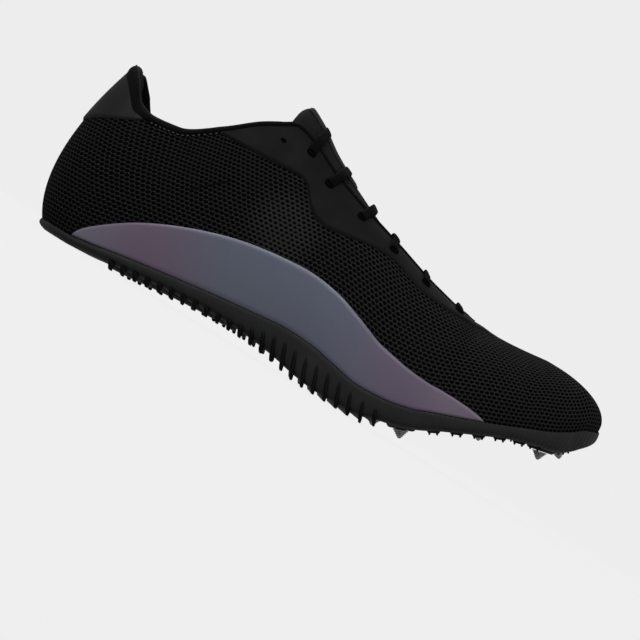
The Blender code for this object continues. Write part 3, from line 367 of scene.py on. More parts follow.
LAST = Last()
MESH_WALL, PAD_WALL = 0.0016, 0.0042
PAD_RISE, PAD_END = (0.62, 0.92), (0.21, 0.33)      # shares of the collar's height and of the length
GAP, FILM, SHEET = 0.0003, 0.0006, 0.0004           # a film's lift off the mesh, its proud edge, its wall
TONGUE_SEAT = MESH_WALL + 0.0011
GIRTH = 0.09                                        # metres that a whole share up the wall stands for
THROAT_TURN = math.acos(1 - 2 * THROAT_FRONT)


def wall_at(points: np.ndarray) -> np.ndarray:
    """Return the upper's wall thickness at points of the pattern, padded at the collar."""
    collar = soft_step(points[..., 2] / COLLAR, *PAD_RISE)
    heel = 1 - soft_step(points[..., 0] / LENGTH, *PAD_END)
    return MESH_WALL + (PAD_WALL - MESH_WALL) * collar * heel


def run_along(points: np.ndarray) -> np.ndarray:
    """Return how far along a line each of its points lies."""
    return np.concatenate([[0.0], np.cumsum(np.linalg.norm(np.diff(points, axis=0), axis=-1))])


# ---- modelling by hand ----------------------------------------------------------------------

def only(made: bpy.types.Object) -> None:
    """Select one object alone and make it active, out of edit mode."""
    if bpy.context.object and bpy.context.object.mode != "OBJECT":
        bpy.ops.object.mode_set(mode="OBJECT")
    bpy.ops.object.select_all(action="DESELECT")
    made.select_set(True)
    bpy.context.view_layer.objects.active = made


def named(name: str) -> bpy.types.Object:
    """Return the object just added, under its name."""
    made = bpy.context.active_object
    made.name = name
    made.data.name = name
    return made


def apply(made: bpy.types.Object, kind: str, **values: object) -> None:
    """Add a modifier with its values and apply it."""
    only(made)
    step = made.modifiers.new(kind.lower(), kind)
    for key, value in values.items():
        setattr(step, key, value)
    bpy.ops.object.modifier_apply(modifier=step.name)


def tidy(made: bpy.types.Object, merge: float = 1e-5) -> None:
    """Merge doubles and turn all faces outward."""
    only(made)
    bpy.ops.object.mode_set(mode="EDIT")
    bpy.ops.mesh.select_all(action="SELECT")
    bpy.ops.mesh.remove_doubles(threshold=merge)
    bpy.ops.mesh.normals_make_consistent(inside=False)
    bpy.ops.object.mode_set(mode="OBJECT")


def close_ends(made: bpy.types.Object, merge: float = 1e-6) -> None:
    """Merge a swept piece's seam, fill its open ends and turn all faces outward."""
    only(made)
    bpy.ops.object.mode_set(mode="EDIT")
    bpy.ops.mesh.select_all(action="SELECT")
    bpy.ops.mesh.remove_doubles(threshold=merge)
    bpy.ops.mesh.select_all(action="DESELECT")
    bpy.ops.mesh.select_mode(type="EDGE")
    bpy.ops.mesh.select_non_manifold(extend=False)
    bpy.ops.mesh.fill_holes(sides=0)
    bpy.ops.mesh.select_all(action="SELECT")
    bpy.ops.mesh.normals_make_consistent(inside=False)
    bpy.ops.object.mode_set(mode="OBJECT")


def face_out(made: bpy.types.Object) -> None:
    """Turn an open sheet's faces away from the middle of the shoe."""
    mesh = made.data
    score = 0.0
    for face in list(mesh.polygons)[::37]:
        score += face.normal.dot(face.center - Vector((face.center.x * 0.9, 0.0, 0.035)))
    if score < 0:
        mesh.flip_normals()


def thicken(made: bpy.types.Object, wall: float = SHEET) -> None:
    """Give a sheet its wall, inward from its face."""
    apply(made, "SOLIDIFY", thickness=wall, offset=-1, use_even_offset=False)


def smooth(made: bpy.types.Object, angle: float = 40.0) -> None:
    """Shade smooth, with edges sharper than the angle kept."""
    only(made)
    bpy.ops.object.shade_smooth_by_angle(angle=math.radians(angle))


def join(name: str, parts: list[bpy.types.Object]) -> bpy.types.Object:
    """Join objects into one piece."""
    only(parts[0])
    for part in parts[1:]:
        part.select_set(True)
    bpy.ops.object.join()
    return named(name)


def grid(name: str, points: np.ndarray, uv: np.ndarray | None = None, flip: bool = False
         ) -> bpy.types.Object:
    """Add a grid and lay it through rows and columns of points.

    Args:
        name: The piece's name.
        points: World points, by column and row.
        uv: Texture places for the points, in metres.
        flip: Whether the faces look to the other side.

    Returns:
        The grid's object, at the origin.
    """
    columns, rows = points.shape[:2]
    bpy.ops.object.select_all(action="DESELECT")
    bpy.ops.mesh.primitive_grid_add(x_subdivisions=columns - 1, y_subdivisions=rows - 1, size=2.0,
                                    calc_uvs=True, location=(0, 0, 0))
    made = named(name)
    mesh = made.data
    flat = np.empty(len(mesh.vertices) * 3)
    mesh.vertices.foreach_get("co", flat)
    flat = flat.reshape(-1, 3)
    i = np.rint((flat[:, 0] + 1) / 2 * (columns - 1)).astype(int)
    j = np.rint((flat[:, 1] + 1) / 2 * (rows - 1)).astype(int)
    mesh.vertices.foreach_set("co", points[i, j].ravel())
    if uv is not None:
        corner = np.empty(len(mesh.loops), int)
        mesh.loops.foreach_get("vertex_index", corner)
        places = uv[i, j][corner]
        mesh.uv_layers.active.name = "pattern"
        mesh.uv_layers["pattern"].data.foreach_set("uv", places.ravel())
    if flip:
        mesh.flip_normals()
    mesh.update()
    return made


def arc_uv(points: np.ndarray, start: int = 0) -> np.ndarray:
    """Return places on a surface by the lengths along its rows and up its columns, in metres."""
    across = np.linalg.norm(np.diff(points, axis=0), axis=-1)
    up = np.linalg.norm(np.diff(points, axis=1), axis=-1)
    u = np.concatenate([np.zeros((1, points.shape[1])), np.cumsum(across, 0)], 0)
    u = u - u[start:start + 1]
    v = np.concatenate([np.zeros((points.shape[0], 1)), np.cumsum(up, 1)], 1)
    return np.stack([u, v], -1)


def ribbon(name: str, path: np.ndarray, side: np.ndarray, up: np.ndarray,
           outline: list[tuple[float, float]]) -> bpy.types.Object:
    """Sweep a small outline along a path and close its ends.

    Args:
        name: The piece's name.
        path: World points of the path.
        side: Directions of the outline's first coordinate along the path.
        up: Directions of its second coordinate.
        outline: The outline's points in metres, around it.

    Returns:
        The swept object.
    """
    points = np.stack([path + side * a + up * b for a, b in outline + outline[:1]], 1)
    made = grid(name, points, arc_uv(points))
    close_ends(made)
    return made


def unit(vectors: np.ndarray) -> np.ndarray:
    """Return vectors at length one."""
    return vectors / np.maximum(np.linalg.norm(vectors, axis=-1, keepdims=True), 1e-12)


def oval(width: float, height: float, count: int = 12, power: float = 2.6) -> list[tuple[float, float]]:
    """Return a flat rounded outline of a width and height."""
    points = []
    for k in range(count):
        angle = 2 * math.pi * k / count
        c, s = math.cos(angle), math.sin(angle)
        points.append((math.copysign(abs(c) ** (2 / power), c) * width / 2,
                       math.copysign(abs(s) ** (2 / power), s) * height / 2))
    return points


# ---- finishes -------------------------------------------------------------------------------

class Net:
    """A small helper that adds and links shader nodes."""

    def __init__(self, tree: bpy.types.NodeTree) -> None:
        """Work on a node tree."""
        self.tree = tree

    def node(self, kind: str, inputs: dict | None = None, **values: object) -> bpy.types.Node:
        """Add a node, with its settings, and its inputs as values or links."""
        made = self.tree.nodes.new(kind)
        for key, value in values.items():
            setattr(made, key, value)
        for key, value in (inputs or {}).items():
            self.feed(made.inputs[key], value)
        return made

    def feed(self, socket: bpy.types.NodeSocket, value: object) -> None:
        """Set a socket, or link it where the value is a socket itself."""
        if isinstance(value, bpy.types.NodeSocket):
            self.tree.links.new(value, socket)
        else:
            socket.default_value = value

    def math(self, operation: str, *values: object) -> bpy.types.NodeSocket:
        """Return the result of a Math node."""
        made = self.node("ShaderNodeMath", operation=operation)
        for socket, value in zip(made.inputs, values):
            self.feed(socket, value)
        return made.outputs[0]

    def times(self, first: object, second: object) -> bpy.types.NodeSocket:
        """Return a product."""
        return self.math("MULTIPLY", first, second)

    def plus(self, first: object, second: object) -> bpy.types.NodeSocket:
        """Return a sum."""
        return self.math("ADD", first, second)

    def minus(self, first: object, second: object) -> bpy.types.NodeSocket:
        """Return a difference."""
        return self.math("SUBTRACT", first, second)

    def mix(self, mask: object, first: object, second: object) -> bpy.types.NodeSocket:
        """Return a colour mixed from two by a mask."""
        made = self.node("ShaderNodeMix", data_type="RGBA")
        for index, value in ((0, mask), (6, first), (7, second)):
            self.feed(made.inputs[index], value)
        return made.outputs[2]

    def axes(self, vector: object) -> bpy.types.bpy_prop_collection:
        """Return the three coordinates of a place."""
        return self.node("ShaderNodeSeparateXYZ", {0: vector}).outputs

    def pattern(self) -> bpy.types.NodeSocket:
        """Return the piece's own pattern places, in metres."""
        return self.node("ShaderNodeUVMap", uv_map="pattern").outputs["UV"]

    def ranged(self, value: object, low: object, high: object, start: float = 0.0, end: float = 1.0
               ) -> bpy.types.NodeSocket:
        """Return a value mapped smoothly from one range to another."""
        made = self.node("ShaderNodeMapRange", {"Value": value, "From Min": low, "From Max": high,
                                                "To Min": start, "To Max": end},
                         interpolation_type="SMOOTHSTEP")
        return made.outputs["Result"]

    def noise(self, vector: object, scale: float, detail: float = 3.0, rough: float = 0.5
              ) -> bpy.types.NodeSocket:
        """Return a noise value."""
        return self.node("ShaderNodeTexNoise", {"Vector": vector, "Scale": scale, "Detail": detail,
                                                "Roughness": rough}).outputs["Fac"]


def new_group(name: str, inputs: list[tuple[str, str, float]], outputs: list[tuple[str, str]]
              ) -> tuple[bpy.types.NodeTree, Net, bpy.types.Node, bpy.types.Node]:
    """Start a shader node group.

    Args:
        name: The group's name.
        inputs: Name, socket kind and value of each input.
        outputs: Name and socket kind of each output.

    Returns:
        The group, a helper for it, and its input and output nodes.
    """
    tree = bpy.data.node_groups.new(name, "ShaderNodeTree")
    for label, kind, value in inputs:
        socket = tree.interface.new_socket(label, in_out="INPUT", socket_type=kind)
        if kind == "NodeSocketFloat":
            socket.default_value = value
    for label, kind in outputs:
        tree.interface.new_socket(label, in_out="OUTPUT", socket_type=kind)
    net = Net(tree)
    return tree, net, net.node("NodeGroupInput"), net.node("NodeGroupOutput")


def hole_group() -> None:
    """Make the group for staggered oval holes between threads on a pattern's places.

    Holes and threads are drawn by how far a point lies from the middle of its cell, in cells.
    """
    floats = "NodeSocketFloat"
    narrow, within, beyond, thread_width, drift_scale = 0.94, 0.07, 0.09, 0.22, 160.0
    _, net, start, end = new_group(
        "oval holes",
        [("Vector", "NodeSocketVector", 0.0), ("Pitch", floats, 0.0025), ("Row", floats, 0.00188),
         ("Size", floats, 0.80), ("Wander", floats, 0.30)],
        [("Hole", floats), ("Thread", floats)])
    given = start.outputs
    place = net.axes(given["Vector"])
    drift = net.axes(net.node("ShaderNodeTexNoise", {"Vector": given["Vector"], "Scale": drift_scale,
                                                     "Detail": 1.0}).outputs["Color"])
    shift_x, shift_y = [net.times(net.minus(drift[axis], 0.5), given["Wander"])
                        for axis in (0, 1)]
    row = net.plus(net.math("DIVIDE", place[1], given["Row"]), shift_y)
    odd = net.math("MODULO", net.math("ABSOLUTE", net.math("FLOOR", row)), 2.0)
    column_place = net.plus(net.math("DIVIDE", place[0], given["Pitch"]), net.times(odd, 0.5))
    cell = net.plus(column_place, shift_x)
    x = net.times(net.minus(net.math("FRACT", cell), 0.5), narrow)
    y = net.minus(net.math("FRACT", row), 0.5)
    squares = [net.math("POWER", net.math("ABSOLUTE", value), 2.0) for value in (x, y)]
    far = net.math("SQRT", net.plus(*squares))
    rim = net.times(given["Size"], 0.5)
    hole = net.ranged(far, net.plus(rim, within), net.minus(rim, beyond))
    thread = net.ranged(far, rim, net.plus(rim, thread_width))
    net.feed(end.inputs["Hole"], hole)
    net.feed(end.inputs["Thread"], thread)


def wear_group() -> None:
    """Make the group for faint dust and handling marks over a surface."""
    floats = "NodeSocketFloat"
    _, net, start, end = new_group(
        "handling", [("Vector", "NodeSocketVector", 0.0), ("Amount", floats, 0.3)], [("Mark", floats)])
    marks = net.ranged(net.noise(start.outputs["Vector"], 38.0, 4.0, 0.6), 0.42, 0.75)
    net.feed(end.inputs["Mark"], net.times(marks, start.outputs["Amount"]))


@dataclass(frozen=True)
class Finish:
    """What every finish shares: its name, colour, roughness and gloss."""

    name: str
    colour: tuple[float, float, float]
    roughness: float = 0.6
    metallic: float = 0.0
    coat: float = 0.0
    coat_roughness: float = 0.3
    specular: float = 0.5
    grain: float = 0.05
    grain_scale: float = 900.0
    marks: float = 0.12
    marked: tuple[float, float, float] = (0.05, 0.05, 0.05)
    spread: float = 0.05
    mark_rough: float = 0.35
    cloud_scale: float = 140.0

    def start(self) -> tuple[bpy.types.Material, Net, bpy.types.Node]:
        """Make the material with its plain numbers set on the shader itself."""
        made = bpy.data.materials.new(self.name)
        made.use_nodes = True
        shader = made.node_tree.nodes["Principled BSDF"]
        for key, value in (("Base Color", (*self.colour, 1.0)), ("Roughness", self.roughness),
                           ("Metallic", self.metallic), ("Coat Weight", self.coat),
                           ("Coat Roughness", self.coat_roughness), ("Specular IOR Level", self.specular)):
            shader.inputs[key].default_value = value
        return made, Net(made.node_tree), shader

    def object_place(self, net: Net) -> bpy.types.NodeSocket:
        """Return the piece's own coordinates."""
        return net.node("ShaderNodeTexCoord").outputs["Object"]

    def handled(self, net: Net, shader: bpy.types.Node, colour: object, height: object = None,
                distance: float = 0.0003, strength: float = 1.0) -> None:
        """Feed the shader its colour with handling marks, its varying roughness and its relief.

        Args:
            net: The material's helper.
            shader: Its Principled shader.
            colour: The colour before the marks, a value or a socket.
            height: A relief to add to the grain, if any.
            distance: The relief's depth in metres.
            strength: How strongly it shows.
        """
        place = self.object_place(net)
        wear = net.node("ShaderNodeGroup", node_tree=bpy.data.node_groups["handling"])
        net.feed(wear.inputs["Vector"], place)
        net.feed(wear.inputs["Amount"], self.marks)
        net.feed(shader.inputs["Base Color"], net.mix(wear.outputs["Mark"], colour, (*self.marked, 1.0)))
        spread = net.ranged(net.noise(place, self.cloud_scale), 0.3, 0.7, self.roughness - self.spread,
                            self.roughness + self.spread)
        rough = net.plus(net.times(wear.outputs["Mark"], self.mark_rough), spread)
        net.feed(shader.inputs["Roughness"], rough)
        relief = net.times(net.noise(place, self.grain_scale, 2.0, 0.6), self.grain)
        if height is not None:
            relief = net.plus(relief, height)
        bump = net.node("ShaderNodeBump", {"Height": relief, "Distance": distance, "Strength": strength})
        net.feed(shader.inputs["Normal"], bump.outputs["Normal"])

    def build(self) -> bpy.types.Material:
        """Return the finished material."""
        made, net, shader = self.start()
        self.handled(net, shader, (*self.colour, 1.0))
        return made


@dataclass(frozen=True)
class MeshCloth(Finish):
    """Knitted mesh with staggered oval holes, more open at the heel and denser at one place of the arch;
    the holes are near black, the dark lining seen through them with painted shade.
    """

    # the holes' colour: painted shade in the openings, darker than the lining seen through them
    hole: tuple[float, float, float] = (0.0004, 0.0004, 0.0005)
    pitch: float = 0.0025
    row: float = 0.00188
    size: float = 0.80
    heel_size: float = 0.08
    dense_size: float = 0.22
    wander: float = 0.30
    dense: tuple[float, float, float] = (-0.0334, -0.0400, 0.0568)
    bright: float = 2.1
    heel_from: tuple[float, float] = (-0.02, -0.12)
    dense_reach: tuple[float, float] = (0.022, 0.008)
    strand_scale: float = 900.0
    fibre_scale: float = 2600.0
    relief: float = 0.0004

    def build(self) -> bpy.types.Material:
        """Return the finished material."""
        made, net, shader = self.start()
        pattern = net.pattern()
        place = self.object_place(net)
        heel = net.ranged(net.axes(place)[0], *self.heel_from)
        away = net.node("ShaderNodeVectorMath", {0: place, 1: self.dense},
                        operation="DISTANCE").outputs["Value"]
        dense = net.ranged(away, *self.dense_reach)
        size = net.plus(net.times(heel, self.heel_size), self.size)
        size = net.minus(size, net.times(dense, self.dense_size))
        holes = net.node("ShaderNodeGroup", node_tree=bpy.data.node_groups["oval holes"])
        for key, value in (("Vector", pattern), ("Pitch", self.pitch), ("Row", self.row), ("Size", size),
                           ("Wander", self.wander)):
            net.feed(holes.inputs[key], value)
        strand = net.node("ShaderNodeTexWave", {"Vector": pattern, "Scale": self.strand_scale,
                                                "Distortion": 2.0, "Detail": 1.0},
                          bands_direction="DIAGONAL").outputs["Fac"]
        fibre = net.ranged(net.noise(pattern, self.fibre_scale, 2.0, 0.7), 0.50, 0.75)
        fuzz = net.times(fibre, net.plus(net.times(dense, 0.8), 0.25))
        bright = tuple(min(1.0, value * self.bright) for value in self.colour)
        thread = net.mix(net.plus(net.times(strand, 0.30), fuzz), (*self.colour, 1.0), (*bright, 1.0))
        # painted shade: the holes take their near-black colour
        colour = net.mix(holes.outputs["Hole"], thread, (*self.hole, 1.0))
        raised = net.minus(net.times(holes.outputs["Thread"], 0.7), holes.outputs["Hole"])
        height = net.plus(raised, net.times(strand, 0.12))
        self.handled(net, shader, colour, height, self.relief, 0.9)
        return made


@dataclass(frozen=True)
class Knit(Finish):
    """Fine knit or woven tape with small ribs along its pattern, and painted shade in the grooves between
    them.
    """

    ribs: float = 0.0009
    groove_shade: float = 0.5
    relief: float = 0.00025

    def build(self) -> bpy.types.Material:
        """Return the finished material."""
        made, net, shader = self.start()
        pattern = net.axes(net.pattern())
        rib = self.wave(net, pattern[0], self.ribs)
        row = net.plus(pattern[1], net.times(rib, self.ribs * 0.6))
        weave = net.times(rib, self.wave(net, row, self.ribs * 0.8))
        # painted shade: the colour darkens in the grooves between the ribs, by the same pattern as the
        # relief
        dark = tuple(value * (1 - self.groove_shade) for value in self.colour)
        colour = net.mix(weave, (*dark, 1.0), (*self.colour, 1.0))
        self.handled(net, shader, colour, weave, self.relief, 0.8)
        return made

    @staticmethod
    def wave(net: Net, place: bpy.types.NodeSocket, width: float) -> bpy.types.NodeSocket:
        """Return rounded ribs of a width along a place."""
        return net.math("ABSOLUTE", net.math("SINE", net.times(place, math.pi / width)))


@dataclass(frozen=True)
class Sheen(Finish):
    """Satin film in lilac, slate and mauve whose colour shifts along the panel and with height, a painted
    iridescent reflection.
    """

    stops: tuple[tuple[float, tuple[float, float, float]], ...] = ()
    start_x: float = -0.112
    end_x: float = 0.085
    lean: float = 2.2
    drift_scale: float = 22.0
    drift: float = 0.10

    def build(self) -> bpy.types.Material:
        """Return the finished material."""
        made, net, shader = self.start()
        place = self.object_place(net)
        parts = net.axes(place)
        cloud = net.times(net.minus(net.noise(place, self.drift_scale, 2.0, 0.5), 0.5), self.drift)
        share = net.node("ShaderNodeMapRange", {"Value": parts[0], "From Min": self.start_x,
                                                "From Max": self.end_x}).outputs["Result"]
        # painted reflection: the colour also shifts with height up the panel
        lean = net.times(parts[2], self.lean)
        ramp = net.node("ShaderNodeValToRGB", {"Fac": net.plus(net.plus(share, cloud), lean)})
        ramp.color_ramp.interpolation = "EASE"
        points = ramp.color_ramp.elements
        while len(points) < len(self.stops):
            points.new(0.5)
        for point, (where, _) in zip(points, self.stops):
            point.position = where
        for point, (_, tint) in zip(points, self.stops):
            point.color = (*tint, 1.0)
        self.handled(net, shader, ramp.outputs["Color"])
        return made


@dataclass(frozen=True)
class Plastic(Finish):
    """Moulded plastic with fine spark texture, paler rubbed places and fine ridges at the forefoot."""

    worn: tuple[float, float, float] = (0.05, 0.05, 0.052)
    ridge: float = 0.0
    ridge_pitch: float = 0.0021
    forefoot: tuple[float, float] = (0.045, 0.085)
    rub_scale: float = 75.0

    def build(self) -> bpy.types.Material:
        """Return the finished material."""
        made, net, shader = self.start()
        place = self.object_place(net)
        rubbed = net.ranged(net.noise(place, self.rub_scale, 4.0, 0.65), 0.52, 0.74)
        colour = net.mix(net.times(rubbed, 0.6), (*self.colour, 1.0), (*self.worn, 1.0))
        forward = net.axes(place)[0]
        wave = net.math("SINE", net.times(forward, 2 * math.pi / self.ridge_pitch))
        forefoot = net.ranged(forward, *self.forefoot)
        fine = net.times(net.times(wave, forefoot), self.ridge)
        self.handled(net, shader, colour, fine)
        return made


@dataclass(frozen=True)
class Steel(Finish):
    """Turned steel, with fine rings and darker stains."""

    dark: tuple[float, float, float] = (0.08, 0.08, 0.085)
    ring_rate: float = 26000.0
    stain_scale: float = 700.0
    relief: float = 0.00004

    def build(self) -> bpy.types.Material:
        """Return the finished material."""
        made, net, shader = self.start()
        place = self.object_place(net)
        rings = net.math("SINE", net.times(net.axes(place)[2], self.ring_rate))
        stain = net.ranged(net.noise(place, self.stain_scale, 3.0, 0.6), 0.45, 0.70)
        colour = net.mix(net.times(stain, 0.6), (*self.colour, 1.0), (*self.dark, 1.0))
        self.handled(net, shader, colour, net.times(rings, 0.12), self.relief, 0.6)
        return made


class Wardrobe:
    """All the finishes of the shoe, made once."""

    def __init__(self) -> None:
        """Make the shared groups and the materials."""
        hole_group()
        wear_group()
        self.mesh = MeshCloth("black mesh", (0.0270, 0.0270, 0.0280), 0.85, specular=0.04, grain=0.10,
                              marks=0.05, marked=(0.02, 0.02, 0.02)).build()
        self.film = Finish("matte film", (0.0072, 0.0072, 0.0075), 0.58, specular=0.11, grain=0.05,
                           marks=0.10, marked=(0.012, 0.012, 0.0125)).build()
        self.tab = Finish("heel film", (0.0175, 0.0178, 0.0182), 0.55, specular=0.14, grain=0.06,
                          marks=0.12, marked=(0.022, 0.022, 0.023)).build()
        self.lining = Knit("lining", (0.0060, 0.0060, 0.0063), 0.9, specular=0.06, ribs=0.0011,
                           marks=0.05).build()
        self.binding = Knit("collar binding", (0.0068, 0.0068, 0.0071), 0.85, specular=0.08, ribs=0.0006,
                            groove_shade=0.4, marks=0.04).build()
        self.tongue = Knit("tongue knit", (0.0225, 0.0225, 0.0230), 0.88, specular=0.10, ribs=0.0010,
                           marks=0.05).build()
        self.patch = Finish("tongue patch", (0.0300, 0.0300, 0.0306), 0.75, specular=0.10, grain=0.25,
                            grain_scale=1500.0, marks=0.06).build()
        self.lace = Knit("flat lace", (0.0034, 0.0034, 0.0037), 0.80, specular=0.07, ribs=0.0008,
                         groove_shade=0.6, marks=0.03).build()
        self.thread = Knit("sewing thread", (0.2300, 0.2300, 0.2340), 0.7, specular=0.2,
                           ribs=0.0003).build()
        self.insole = Knit("insole cloth", (0.0080, 0.0080, 0.0085), 0.9, specular=0.06,
                           ribs=0.0012).build()
        self.plate = Plastic("charcoal plate", (0.0175, 0.0180, 0.0186), 0.55, specular=0.22, grain=0.12,
                             grain_scale=1400.0, worn=(0.026, 0.027, 0.028), ridge=0.35).build()
        self.rib = Plastic("black ribs", (0.0030, 0.0030, 0.0033), 0.50, specular=0.14, grain=0.08,
                           worn=(0.007, 0.007, 0.0075), marks=0.05).build()
        # the eyelets' colour: painted shade in the punched holes, darker than the cloth behind them
        self.hole = Finish("eyelet dark", (0.0012, 0.0012, 0.0013), 0.9, specular=0.05, marks=0.02).build()
        self.steel = Steel("turned steel", (0.46, 0.46, 0.47), 0.34, metallic=1.0, grain=0.02,
                           marks=0.1, marked=(0.2, 0.2, 0.2)).build()
        # the panel's shift from lilac by slate to mauve is a painted iridescent reflection on a satin film
        self.panel = Sheen(
            "shifting satin", (0.17, 0.14, 0.22), 0.36, coat=0.18, coat_roughness=0.25, specular=0.4,
            grain=0.02, marks=0.06, marked=(0.24, 0.23, 0.28),
            stops=((0.00, (0.235, 0.225, 0.290)), (0.20, (0.205, 0.150, 0.225)),
                   (0.42, (0.158, 0.178, 0.240)), (0.66, (0.165, 0.182, 0.250)),
                   (0.86, (0.190, 0.150, 0.225)), (1.00, (0.235, 0.185, 0.255)))).build()


def finish_piece(made: bpy.types.Object, surface: bpy.types.Material, slot: Slot, *replaced: str,
                 angle: float = 40.0) -> bpy.types.Object:
    """Dress a piece, hang it on the shoe, hide the CAD nodes it stands for and log its faces.

    Args:
        made: The piece.
        surface: Its material, put on unless it already has its own.
        slot: The record's slot; not used.
        replaced: The CAD nodes it stands for.
        angle: Edges sharper than this stay sharp, in degrees.

    Returns:
        The same piece.
    """
    if not made.data.materials:
        made.data.materials.append(surface)
    smooth(made, angle)
    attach(made, "root")
    if replaced:
        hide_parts(*replaced)
    LOG.info("%s: %d faces", made.name, len(made.data.polygons))
    return made


# ---- the sub-assemblies ---------------------------------------------------------------------

@dataclass
class Upper:
    """The mesh shell, one wall from the sole line to the collar, throat and vamp ridge."""

    wardrobe: Wardrobe
    columns: int = 300
    rows: int = 34
    under_edge: float = 0.004
    under_pad: float = 0.022
    fill: float = 0.92

    def build(self) -> None:
        """Model the shell and stand it in for the plain one."""
        turn = np.linspace(-math.pi, math.pi, self.columns + 1)[:, None]
        padded = (wall_at(LAST.skin(turn, np.ones_like(turn))) / PAD_WALL) ** 2
        under_roll = np.where(np.abs(turn) < THROAT_TURN, self.under_edge + self.under_pad * padded, 0.0)
        share = np.linspace(0, 1, self.rows + 1)[None, :] * (LAST.brim(turn) - under_roll)
        skin = LAST.lifted(turn, share, 0.0)
        made = grid("upper_shell", LAST.world(skin), arc_uv(skin, self.columns // 2))
        group = made.vertex_groups.new(name="wall")
        tidy(made, 2e-6)
        flat = np.empty(len(made.data.vertices) * 3)
        made.data.vertices.foreach_get("co", flat)
        walls = wall_at(flat.reshape(-1, 3) - np.array(LAST.shift))
        for index, wall in enumerate(walls):
            group.add([index], float(wall / PAD_WALL) * self.fill, "REPLACE")
        face_out(made)
        made.data.materials.append(self.wardrobe.mesh)
        made.data.materials.append(self.wardrobe.lining)
        apply(made, "SOLIDIFY", thickness=PAD_WALL, offset=-1, vertex_group="wall", use_even_offset=False,
              material_offset=1, material_offset_rim=1)
        finish_piece(made, self.wardrobe.mesh, Slot.MESH, "upper", angle=50.0)


@dataclass
class Eyestay:
    """The smooth film round the throat; its eyelets are modelled with the laces."""

    wardrobe: Wardrobe
    start: float = 0.222
    end: float = 0.765
    wall: float = 0.00035
    brink: float = 0.0012
    rim: float = 0.0008
    ends: tuple[float, float] = (0.02, 0.08)
    columns: int = 110
    rows: int = 25

    def build(self) -> None:
        """Model the film on both sides, joined in front of the throat."""
        edge = Curve(FILM_EDGE, 0.001, LENGTH)
        parts = []
        for side in Side:
            first = LAST.turn_at(self.start * LENGTH, side)
            last = LAST.turn_at(self.end * LENGTH, side)
            turn = np.linspace(first, last, self.columns)
            low = np.minimum(LAST.share_on(turn, edge), 1.0)
            rise = np.linspace(0, 1, self.rows)[None, :]
            share = low[:, None] + (1 - low[:, None]) * rise
            width = (1 - low)[:, None] * GIRTH
            brink = soft_step(rise * width, 0.0, self.brink)
            open_edge = np.where(np.abs(turn) < THROAT_TURN, 1.0, 0.0)[:, None]
            top = soft_step((1 - rise) * width, 0.0, self.rim) * open_edge + (1 - open_edge)
            back = soft_step(np.abs(turn), abs(first), abs(first) + self.ends[0])[:, None]
            front = soft_step(np.abs(turn), abs(last), abs(last) - self.ends[1])[:, None]
            body = brink * (0.4 + 0.6 * top) * front * back
            lift = GAP * 0.4 + (FILM + GAP * 0.4) * body
            points = LAST.lifted(turn[:, None], share, lift)
            parts.append(grid("eyestay_half", LAST.world(points), arc_uv(points), flip=side == Side.MEDIAL))
        made = join("eyestay_film", parts)
        tidy(made, 1e-5)
        face_out(made)
        thicken(made, self.wall)
        finish_piece(made, self.wardrobe.film, Slot.FILM, "eyestay", angle=50.0)


@dataclass
class HeelTab:
    """The smooth film round the back of the collar."""

    wardrobe: Wardrobe
    end: float = 0.118
    brink: float = 0.0009
    side_end: float = 0.05
    columns: int = 121
    rows: int = 29

    def build(self) -> None:
        """Model the film from its seam up to the collar's roll."""
        edge = Curve(TAB_EDGE, 0.001, LENGTH)
        last = float(LAST.turn_at(self.end * LENGTH, Side.MEDIAL))
        turn = np.linspace(-last, last, self.columns)
        low = LAST.share_on(turn, edge)
        rise = np.linspace(0, 1, self.rows)[None, :]
        share = low[:, None] + (LAST.brim(turn)[:, None] - low[:, None]) * rise
        brink = soft_step(rise * (1 - low)[:, None] * GIRTH, 0.0, self.brink)
        ends = soft_step(np.abs(turn), last, last - self.side_end)[:, None]
        lift = GAP * 0.5 + (FILM + GAP * 0.5) * brink * (0.3 + 0.7 * ends)
        points = LAST.lifted(turn[:, None], share, lift)
        made = grid("heel_tab_film", LAST.world(points), arc_uv(points, self.columns // 2))
        tidy(made)
        face_out(made)
        thicken(made)
        finish_piece(made, self.wardrobe.tab, Slot.FILM, "heel_tab", angle=50.0)


